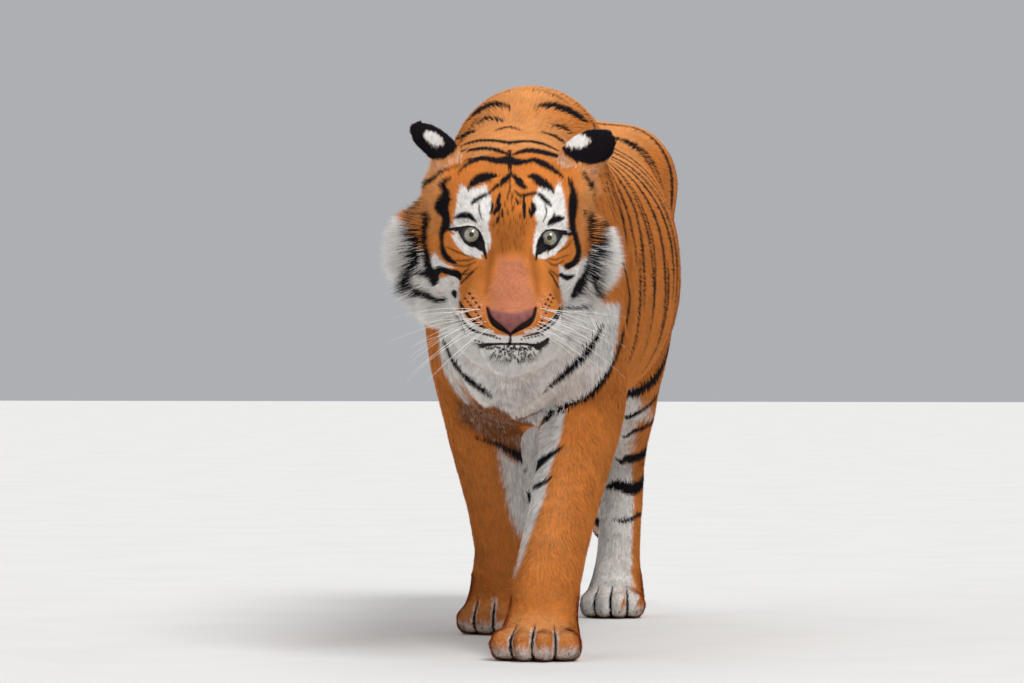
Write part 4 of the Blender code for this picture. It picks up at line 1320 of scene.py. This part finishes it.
def skin_finish(colours):
    """The skin: short hair where it is coated, pebbled leather on the nose, dark wet rims."""
    paint = Paint("skin")
    grain = paint.noise(700, 4)
    colour = paint.mix(fur_colour(paint, colours, grain), (0.5, 0.45, 0.42), 0.35, "MULTIPLY")
    mottle = paint.noise(120, 3)
    leather = paint.mix(colours.leather, colours.leather_dark, paint.step(mottle, 0.45, 0.75) * 0.5)
    colour = paint.mix(colour, leather, paint.layer("leather"))
    # Black rims of lids and lips, and the painted shade inside the nostrils.
    colour = paint.mix(colour, colours.rim, paint.layer("dark"))
    bare = paint.node("Math", {"operation": "MAXIMUM"}, {0: paint.layer("leather"), 1: paint.layer("dark")})
    pebbles = paint.node("TexVoronoi", inputs={"Scale": 620.0, "Vector": paint.place()})
    height = pebbles * bare + grain * (1 - bare)
    rough = 0.80 - paint.layer("leather") * 0.36 + (mottle - 0.5) * 0.1
    return paint.finish(Base_Color=colour, Roughness=rough, Specular_IOR_Level=0.15,
                        Normal=paint.bump(height, 0.35 * MM, 0.7))


def plain_finish(name, colour, rough, scale=300, deep=0.72):
    """One colour, mottled towards a share of itself."""
    paint = Paint(name)
    vary = paint.noise(scale, 3)
    dark = tuple(deep * c for c in colour[:3])
    mottled = paint.mix(colour, dark, paint.step(vary, 0.35, 0.75))
    return paint.finish(Base_Color=mottled, Roughness=rough + (vary - 0.5) * 0.12)


# ---------------------------------------------------------------- the coat

class Hide:
    """The finished skin, read back for what grows on it."""

    def __init__(self):
        mesh = bpy.data.objects["skin"].data
        self.points, self.normals = points_of(mesh), normals_of(mesh)
        self.triangles = triangles_of(mesh)
        self.lie = get_layer(mesh, "lie")
        self.layers = np.stack([get_layer(mesh, name) for name in LAYERS], axis=1)
        self.parts = np.rint(self.layer("part")).astype(int)

    def layer(self, name):
        return self.layers[:, LAYERS.index(name)]


def unwrapped(hide, chosen):
    """A flat layout of some of the skin's triangles, one UV for each corner."""
    used, index = np.unique(hide.triangles[chosen], return_inverse=True)
    item = new_object("patch", new_mesh("patch", hide.points[used], index.ravel(), 3))
    bpy.context.view_layer.objects.active = item
    item.select_set(True)
    bpy.ops.object.mode_set(mode="EDIT")
    bpy.ops.mesh.select_all(action="SELECT")
    bpy.ops.uv.smart_project(angle_limit=math.radians(66), island_margin=0.004)
    bpy.ops.object.mode_set(mode="OBJECT")
    found = np.empty(len(chosen) * 6, np.float32)
    item.data.uv_layers[0].uv.foreach_get("vector", found)
    bpy.data.objects.remove(item)
    return found.reshape(-1, 3, 2)


# Half the width of a tuft's patch in the UV map, how far a clump draws tips together, how far along a tuft
# its colour is taken, how deep its root is set in mm, the barest skin that still grows hair, and how near
# to the floor a tuft may come in mm.
PATCH = 0.0015
CLUMPING = 0.42
MARKED_AT = 0.72
ROOTED = 0.4
BAREST = 0.35
LOWEST = 0.4

# A tuft is one thin triangle: two points at the root and one at the tip.
TUFT_CORNERS = (1, 0, 2)
TUFT_TIPS = (0.0, 0.0, 1.0)
TUFT_PATCH = ((-1, -1), (1, -1), (0, 1))


def clumped(root, tip, size, draw):
    """Draws neighbouring tips together. Returns the tips, and a number and a lean for each tuft's clump."""
    cells = np.floor(root / size + draw.uniform(-0.28, 0.28, root.shape)).astype(int)
    _, clump = np.unique(cells, axis=0, return_inverse=True)
    clump = clump.reshape(-1)
    count = np.bincount(clump)
    middle_tip = np.stack([np.bincount(clump, tip[:, k]) / count for k in range(3)], axis=1)
    tip = tip + CLUMPING * (middle_tip[clump] - tip)
    return tip, draw.random(len(count))[clump], draw.normal(0, 1, len(count))[clump]


def scattered(hide, chosen, count, draw):
    """Where each tuft is rooted: its triangle among those chosen, and its place in it as shares."""
    triangles = hide.triangles[chosen]
    corners = hide.points[triangles]
    area = np.linalg.norm(np.cross(corners[:, 1] - corners[:, 0], corners[:, 2] - corners[:, 0]), axis=1)
    length, width, leather, dark = (hide.layer(name)[triangles]
                                    for name in ("length", "width", "leather", "dark"))
    bare = np.maximum(leather, dark).mean(axis=1)
    weight = np.cumsum(area / (length.mean(axis=1) * width.mean(axis=1)) * (bare < BAREST))
    at = (np.arange(count) + draw.random(count)) / count * weight[-1]
    which = np.minimum(np.searchsorted(weight, at), len(chosen) - 1)
    u, v = draw.random((2, count))
    u, v = np.where(u + v > 1, 1 - u, u), np.where(u + v > 1, 1 - v, v)
    return which, np.stack([1 - u - v, u, v], axis=1)[:, :, None]


def grow(hide, chosen, count, draw, spread, clump, thick):
    """Tufts of hair on some of the skin's triangles, as one mesh. Their headings stray by the spread."""
    which, share = scattered(hide, chosen, count, draw)
    triangles = hide.triangles[chosen][which]

    def at_root(values):
        return (values[triangles] * share).sum(axis=1)

    root, normal = at_root(hide.points), unit(at_root(hide.normals))
    layers = at_root(hide.layers)
    length, lift, width = (layers[:, LAYERS.index(name)] for name in ("length", "lift", "width"))
    length = length * draw.uniform(0.75, 1.2, count) * MM
    lift = np.radians(lift * draw.uniform(0.55, 1.35, count))
    half = width * draw.uniform(0.35, 0.62, count) * thick * MM
    heading = tangent(at_root(hide.lie), normal)
    heading = unit(heading + np.cross(normal, heading) * draw.normal(0, spread, count)[:, None])
    side = np.cross(normal, heading)
    side = unit(side + normal * draw.normal(0, 0.28, count)[:, None])
    along = heading * np.cos(lift)[:, None] + normal * np.sin(lift)[:, None]
    root = root - normal * ROOTED * MM
    tip, clump_shade, clump_lean = clumped(root, root + along * length[:, None], clump * MM, draw)
    places = np.stack([root - side * half[:, None], root + side * half[:, None], tip], axis=1)
    places[:, :, 2] = np.maximum(places[:, :, 2], LOWEST * MM)
    corners = (np.arange(count) * 3)[:, None] + np.array(TUFT_CORNERS)
    mesh = new_mesh("tufts", places.reshape(-1, 3), corners.ravel(), 3)

    tilt = 0.10 * draw.normal(0, 1, count) + 0.13 * clump_lean
    lit = unit(normal + heading * 0.28 + side * tilt[:, None])
    put_layer(mesh, "custom_normal", np.repeat(lit, 3, axis=0))
    # From 0 at the root to 1 at the tip, for the painted shade at the root.
    put_layer(mesh, "tip", np.tile(TUFT_TIPS, count))
    put_layer(mesh, "shade", np.repeat(0.5 * draw.random(count) + 0.5 * clump_shade, 3))
    marks = marks_of(root + heading * (length * MARKED_AT)[:, None], normal, hide.parts[triangles[:, 0]])
    for name in MARKS:
        put_layer(mesh, name, np.repeat(marks[name], 3))

    centre = (unwrapped(hide, chosen)[which] * share).sum(axis=1)
    uv = centre[:, None, :] + np.array(TUFT_PATCH) * PATCH
    uv = np.clip(uv[:, TUFT_CORNERS, :], 0, 1)
    mesh.uv_layers.new(name="OFBake").uv.foreach_set("vector", uv.astype(np.float32).ravel())
    return mesh


# Each piece of the coat: the nodes it grows on, the zone of the head, triangles in thousands,
# how far its headings stray, and how wide a clump is in mm.
COAT_PIECES = {
    "coat_face": (("head", "nose", "lower_jaw", "eye"), "face", 195, 0.16, 3.2),
    "coat_crown": (("head",), "crown", 130, 0.16, 4.0),
    "coat_ruff": (("head", "lower_jaw"), "ruff", 189, 0.20, 7.0),
    "coat_ears": (("left_ear", "right_ear"), "", 40, 0.24, 3.0),
    "coat_neck": (("neck",), "", 85, 0.16, 7.0),
    "coat_chest": (("chest", "left_shoulder", "right_shoulder"), "", 180, 0.15, 7.0),
    "coat_barrel": (("barrel",), "", 145, 0.15, 7.0),
    "coat_hindquarters": (("hindquarters", "tail_root"), "", 125, 0.15, 7.0),
    "coat_forelegs": (("forearm", "fore_paw"), "", 165, 0.14, 5.0),
    "coat_hind_legs": (("thigh", "shank", "hind_foot", "hind_paw"), "", 180, 0.14, 5.0),
    "coat_tail": (("tail_upper", "tail_lower", "tail_end"), "", 58, 0.16, 6.0),
}


def zone_of(hide):
    """Which zone of the head each vertex is in."""
    local = to_head(hide.points)
    length = hide.layer("length")
    jaw = part_mask(hide.parts, "lower_jaw")
    ruff = (length > 13) | (jaw & (length > 10))
    face = ~ruff & (local[:, 2] < 62) & (local[:, 1] < 70)
    return np.where(ruff, "ruff", np.where(face, "face", "crown"))


def grow_piece(hide, name, zones, seed):
    words, zone, thousands, spread, clump = COAT_PIECES[name]
    wanted = part_mask(hide.parts, *words)
    if zone:
        wanted &= zones == zone
    chosen = np.flatnonzero(wanted[hide.triangles[:, 0]])
    share = 1.0
    count = int(thousands * 1000 * share)
    draw = np.random.default_rng(seed)
    mesh = grow(hide, chosen, count, draw, spread, clump, share**-0.5)
    item = new_object(name, mesh)
    mesh.materials.append(coat_finish(name, bpy.context.scene.tiger_colours))
    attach(item, "root")


# ---------------------------------------------------------------- eyes, whiskers, claws

# Distances from the line of sight, in mm, over which one ring of the eye gives way to the next.
PUPIL_EDGE = (4.0, 3.5)
INNER_EDGE = (6.2, 3.4)
LIMBUS_EDGE = (9.6, 11.0)
WHITE_EDGE = (11.6, 13.2)
PUPIL_BLACK = (0.004, 0.004, 0.004)
LIMBUS_BLACK = (0.012, 0.010, 0.010)
CORNEA_BULGE = 1.1


def build_eye(name):
    """A round eyeball with a bulging cornea, its rings kept as a distance from the line of sight."""
    work = bmesh.new()
    bmesh.ops.create_uvsphere(work, u_segments=64, v_segments=48, radius=EYE_RADIUS)
    mesh = bpy.data.meshes.new(name + "ball")
    work.to_mesh(mesh)
    work.free()
    local = points_of(mesh)
    across = np.hypot(local[:, 0], local[:, 1]) * np.sign(local[:, 2] + 1e-9)
    ring = np.where(local[:, 2] > 0, np.abs(across), 2 * EYE_RADIUS) / MM
    bulge = CORNEA_BULGE * smooth_step(IRIS_RADIUS / MM + 1.5, 2, ring)
    local[:, 2] += bulge * MM
    centre, _, up, gaze = eye_frame(name)
    turned = Matrix((ACROSS, up, gaze)).transposed()
    put_points(mesh, local @ np.array(turned).T + np.array(centre))
    put_layer(mesh, "ring", ring)
    # Painted shadow of the upper lid: 0 from 2 mm below the eye's middle, rising to 1 at 9 mm above it.
    put_layer(mesh, "lidded", smooth_step(-2, 9, local[:, 1] / MM))
    put_layer(mesh, "bearing", np.column_stack([unit(local[:, :2]), ring / 30]))
    shade_smooth(mesh)
    return mesh


def eye_finish(colours):
    """A pale iris with fine radial streaks, its upper part darkened by a painted shadow of the lid, a small
    round pupil and a dark outer ring, wet on top.
    """
    paint = Paint("eye")
    ring = paint.layer("ring")
    bearing = paint.vector_layer("bearing")
    streaks = paint.node("TexNoise", inputs={"Vector": bearing, "Scale": 9.0, "Detail": 6.0})
    iris = paint.mix(colours.iris, colours.iris_dark, paint.step(streaks, 0.42, 0.66) * 0.75)
    inner = paint.step(ring + (streaks - 0.5) * 3, *INNER_EDGE)
    iris = paint.mix(iris, colours.iris_inner, inner * 0.6)
    # The painted shadow of the upper lid darkens the top of the iris.
    iris = paint.mix(iris, colours.iris_dark, paint.layer("lidded") * 0.7)
    colour = paint.mix(iris, LIMBUS_BLACK, paint.step(ring + (streaks - 0.5) * 1.2, *LIMBUS_EDGE))
    colour = paint.mix(colour, PUPIL_BLACK, paint.step(ring, *PUPIL_EDGE))
    sclera = paint.step(ring, *WHITE_EDGE)
    colour = paint.mix(colour, colours.sclera, sclera * 0.25)
    return paint.finish(Base_Color=colour, Roughness=0.28 + 0.4 * sclera, Coat_Weight=1 - 0.85 * sclera,
                        Coat_Roughness=0.02, Specular_IOR_Level=0.3)


def tube(line, radii, sides=5):
    """Points and corners of a tapering tube along a line."""
    line = np.array(line)
    run = unit(np.gradient(line, axis=0))
    first = unit(np.cross(run, (0.31, 0.17, 0.93)))
    second = np.cross(run, first)
    turn = np.arange(sides) * 2 * math.pi / sides
    ring = first[:, None] * np.cos(turn)[None, :, None] + second[:, None] * np.sin(turn)[None, :, None]
    places = (line[:, None] + ring * np.array(radii)[:, None, None]).reshape(-1, 3)
    base = (np.arange(len(line) - 1) * sides)[:, None]
    k = np.arange(sides)
    after = (k + 1) % sides
    quads = np.stack([base + k, base + after, base + after + sides, base + k + sides], axis=2)
    return places, quads.reshape(-1, 4)


def joined_tubes(name, tubes):
    places, quads, count = [], [], 0
    for points, corners in tubes:
        places.append(points)
        quads.append(corners + count)
        count += len(points)
    mesh = new_mesh(name, np.vstack(places), np.vstack(quads).ravel(), 4)
    shade_smooth(mesh)
    return mesh


# How far a whisker may reach sideways as a share of the solids' own half width, how many points it has,
# and how much its radius thins to the tip, in mm.
WHISKER_REACH = 1.07
WHISKER_POINTS = 12
WHISKER_THINS = 0.34
WHISKER_TIP = 0.06


def whisker_lines(tree, longest, draw):
    """The whiskers: out of the pads of the muzzle, sweeping outwards and down."""
    found = []
    for side in (1, -1):
        for row in range(4):
            for step in range(5):
                right = side * (40 + 6.0 * step - 3.5 * row + draw.uniform(-1.5, 1.5))
                up = -106 - 9 * row - 1.5 * step + draw.uniform(-2, 2)
                target = FACE + (ACROSS * right + Vector((0, 0, up))) * MM
                hit, normal, _, _ = tree.ray_cast(VIEWPOINT, target - VIEWPOINT)
                if not hit:
                    continue
                length = longest * draw.uniform(0.45, 1.0) * MM
                out = ACROSS * side * draw.uniform(0.75, 1.0) + normal * 0.30
                out += Vector((0, 0, draw.uniform(-0.45, 0.10) - 0.10 * row))
                out = (out - GAZE * draw.uniform(-0.1, 0.35)).normalized()
                sag = Vector((0, 0, -1)) * draw.uniform(0.05, 0.30)
                t = np.linspace(0, 1, WHISKER_POINTS)[:, None]
                line = np.array(out) * t + np.array(sag) * t**2
                start = np.array(hit) - np.array(normal) * 0.001
                room = (WHISKER_REACH * CAD_HIGH.x - abs(start[0])) / np.abs(line[:, 0]).max()
                found.append(start + line * min(length, room))
    return found


# How far along the toes' gaps the toes' own middles are, and the claw's run and thickness in mm.
TOE_MIDDLES = (-0.74, -0.26, 0.26, 0.74)
CLAW_LINE = [(6, 3, 2.4), (3, 2, 2.4), (0, 0, 2.1), (-3, -3, 1.4), (-4, -6, 0.3)]
CLAW_HEIGHT = 0.015


def claw_tubes(tree):
    """The tips of the sheathed claws, one at the front of each toe."""
    found = []
    for name in PAWS:
        low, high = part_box(name)
        for at in TOE_MIDDLES:
            aside = (low.x + high.x) / 2 + at * (high.x - low.x) / 2
            hit, _, _, _ = tree.ray_cast(Vector((aside, low.y - 0.1, CLAW_HEIGHT)), Vector((0, 1, 0)))
            if hit:
                rows = np.array(CLAW_LINE) * MM
                line = np.stack([np.full(len(rows), aside), hit.y + rows[:, 0], hit.z + rows[:, 1]], axis=1)
                found.append(tube(line, rows[:, 2], 8))
    return found


# ---------------------------------------------------------------- settings

def colour_setting(name, description, default):
    return FloatVectorProperty(name=name, description=description, default=default, subtype="COLOR",
                               size=3, min=0.0, max=1.0)


class TigerColours(bpy.types.PropertyGroup):
    gold: colour_setting("Gold", "The palest orange of the coat", (0.84, 0.40, 0.15))
    orange: colour_setting("Orange", "The coat's own orange", (0.71, 0.225, 0.042))
    # Also the colour that the painted shade of the throat and brisket turns to.
    russet: colour_setting("Russet", "The darkest orange, between the eyes", (0.25, 0.075, 0.014))
    bridge: colour_setting("Bridge", "The short fur along the nose", (0.56, 0.20, 0.098))
    white: colour_setting("White", "Ruff, chest, belly and brows", (0.85, 0.81, 0.77))
    black: colour_setting("Black", "The stripes", (0.010, 0.008, 0.010))
    leather: colour_setting("Nose leather", "The bare skin of the nose", (0.24, 0.082, 0.070))
    leather_dark: colour_setting("Nose leather, dark", "The darker specks of the nose", (0.08, 0.03, 0.03))
    # Also the painted shade inside the nostrils.
    rim: colour_setting("Rims", "The bare skin of lids, lips and nostrils", (0.012, 0.008, 0.009))
    iris: colour_setting("Iris", "The main colour of the iris", (0.31, 0.29, 0.21))
    # Also the painted shadow of the upper lid.
    iris_dark: colour_setting("Iris, dark", "The streaks of the iris", (0.13, 0.115, 0.075))
    iris_inner: colour_setting("Iris, inner", "Round the pupil", (0.30, 0.22, 0.09))
    sclera: colour_setting("White of the eye", "What shows beside the iris", (0.03, 0.02, 0.02))
    whisker: colour_setting("Whiskers", "The whiskers", (0.85, 0.82, 0.78))
    claw: colour_setting("Claws", "The horn of the claws", (0.17, 0.145, 0.12))


class TigerSizes(bpy.types.PropertyGroup):
    voxel: FloatProperty(name="Skin grain", default=0.007, min=0.004, max=0.02, subtype="DISTANCE",
                         unit="LENGTH", description="The spacing of the skin's mesh before it is refined")
    whisker: FloatProperty(name="Whisker length", description="The longest whisker, in millimetres",
                           default=130.0, min=40.0, max=200.0)
    seed: IntProperty(name="Seed", description="Where the tufts fall", default=7, min=0)


# ---------------------------------------------------------------- what the buttons do

class Step(bpy.types.Operator):
    """One step of making the tiger."""

    bl_options = {"REGISTER", "UNDO"}

    @property
    def colours(self):
        return bpy.context.scene.tiger_colours

    @property
    def sizes(self):
        return bpy.context.scene.tiger_sizes


class TIGER_OT_skin(Step):
    """Make the skin that stands for every node of flesh"""

    bl_idname = "tiger.skin"
    bl_label = "Skin"

    def execute(self, context):
        item = new_object("skin", build_skin(self.sizes.voxel))
        item.data.materials.append(skin_finish(self.colours))
        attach(item, "root")
        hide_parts(*FLESH)
        return {"FINISHED"}


class TIGER_OT_eyes(Step):
    """Make the two eyeballs"""

    bl_idname = "tiger.eyes"
    bl_label = "Eyes"

    def execute(self, context):
        finish = eye_finish(self.colours)
        for name in EYES:
            item = new_object(name.replace("_eye", "_eyeball"), build_eye(name))
            item.data.materials.append(finish)
            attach(item, "root")
            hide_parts(name)
        return {"FINISHED"}


class TIGER_OT_coat(Step):
    """Grow the coat on the skin, region by region"""

    bl_idname = "tiger.coat"
    bl_label = "Coat"

    def execute(self, context):
        hide = Hide()
        zones = zone_of(hide)
        for index, name in enumerate(COAT_PIECES):
            grow_piece(hide, name, zones, self.sizes.seed * 100 + index)
        return {"FINISHED"}


def skin_tree():
    """The finished skin as a tree that rays can be cast at."""
    mesh = bpy.data.objects["skin"].data
    return BVHTree.FromPolygons(points_of(mesh).tolist(), triangles_of(mesh).tolist())


class TIGER_OT_whiskers(Step):
    """Set the whiskers in the muzzle"""

    bl_idname = "tiger.whiskers"
    bl_label = "Whiskers"

    def execute(self, context):
        draw = np.random.default_rng(self.sizes.seed)
        taper = WHISKER_TIP + (1 - np.linspace(0, 1, WHISKER_POINTS)) * WHISKER_THINS
        taper = taper * MM
        lines = whisker_lines(skin_tree(), self.sizes.whisker, draw)
        item = new_object("whiskers", joined_tubes("whiskers", [tube(line, taper) for line in lines]))
        item.data.materials.append(plain_finish("whisker", self.colours.whisker, 0.35))
        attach(item, "root")
        return {"FINISHED"}


class TIGER_OT_claws(Step):
    """Set the tips of the claws in the toes"""

    bl_idname = "tiger.claws"
    bl_label = "Claws"

    def execute(self, context):
        item = new_object("claws", joined_tubes("claws", claw_tubes(skin_tree())))
        item.data.materials.append(plain_finish("claw", self.colours.claw, 0.4))
        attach(item, "root")
        return {"FINISHED"}


# The camera in mm and how far it sees in metres, then the floor, the sky, and what the lamps are turned to.
SENSOR = 36.0
LENS = 167.4
FAR_CLIP = 60
FLOOR_HALF = 30
FLOOR_COLOUR = (0.68, 0.67, 0.65)
SKY_COLOUR = (0.84, 0.86, 0.90, 1)
SKY_STRENGTH = 0.50
LAMPS_AIM = (0, -0.4, 0.45)

# The lamps, all distant ones that don't fall off: the side each shines from, how wide it looks in degrees,
# and its strength.
LAMPS = [
    ("key", (2.0, -3.6, 4.4), 25, 2.3),
    ("fill", (-3.4, -3.8, 1.8), 40, 0.45),
    ("top", (-0.4, 0.6, 5.0), 60, 0.95),
]


class TIGER_OT_stage(Step):
    """Set the floor, the soft light and the camera"""

    bl_idname = "tiger.stage"
    bl_label = "Stage"

    def execute(self, context):
        work = bmesh.new()
        bmesh.ops.create_grid(work, x_segments=2, y_segments=2, size=FLOOR_HALF)
        mesh = bpy.data.meshes.new("floor")
        work.to_mesh(mesh)
        work.free()
        floor = new_object("floor", mesh)
        mesh.materials.append(plain_finish("floor", FLOOR_COLOUR, 0.9, scale=4, deep=0.96))

        world = bpy.data.worlds.new("studio")
        world.use_nodes = True
        sky = world.node_tree.nodes["Background"].inputs
        sky["Color"].default_value = SKY_COLOUR
        sky["Strength"].default_value = SKY_STRENGTH
        context.scene.world = world
        context.scene.view_settings.view_transform = "Standard"
        for name, place, width, power in LAMPS:
            data = bpy.data.lights.new(name, "SUN")
            data.angle, data.energy = math.radians(width), power
            lamp = bpy.data.objects.new(name, data)
            context.scene.collection.objects.link(lamp)
            lamp.location = place
            lamp.rotation_euler = (Vector(LAMPS_AIM) - lamp.location).to_track_quat("-Z", "Y").to_euler()

        data = bpy.data.cameras.new("camera")
        data.sensor_width, data.lens = SENSOR, LENS
        data.clip_end = FAR_CLIP
        camera = bpy.data.objects.new("camera", data)
        context.scene.collection.objects.link(camera)
        turned = Matrix((ACROSS, Vector((0, 0, 1)), GAZE)).transposed().to_4x4()
        camera.matrix_world = Matrix.Translation(VIEWPOINT) @ turned
        context.scene.camera = camera
        return {"FINISHED"}


class TIGER_PT_panel(bpy.types.Panel):
    """The tiger's steps and settings"""

    bl_idname = "TIGER_PT_panel"
    bl_label = "Tiger"
    bl_space_type = "VIEW_3D"
    bl_region_type = "UI"
    bl_category = "Tiger"

    def draw(self, context):
        for step in STEPS:
            self.layout.operator(step.bl_idname)
        for settings in (context.scene.tiger_sizes, context.scene.tiger_colours):
            for name in settings.__annotations__:
                self.layout.prop(settings, name)


STEPS = (TIGER_OT_skin, TIGER_OT_eyes, TIGER_OT_coat, TIGER_OT_whiskers, TIGER_OT_claws, TIGER_OT_stage)
CLASSES = (TigerColours, TigerSizes, *STEPS, TIGER_PT_panel)


def register():
    for each in CLASSES:
        bpy.utils.register_class(each)
    bpy.types.Scene.tiger_colours = PointerProperty(type=TigerColours)
    bpy.types.Scene.tiger_sizes = PointerProperty(type=TigerSizes)


def unregister():
    del bpy.types.Scene.tiger_sizes
    del bpy.types.Scene.tiger_colours
    for each in reversed(CLASSES):
        bpy.utils.unregister_class(each)


def main():
    register()
    bpy.ops.tiger.skin()
    bpy.ops.tiger.eyes()
    bpy.ops.tiger.coat()
    bpy.ops.tiger.whiskers()
    bpy.ops.tiger.claws()
    bpy.ops.tiger.stage()


if __name__ == "__main__":
    main()
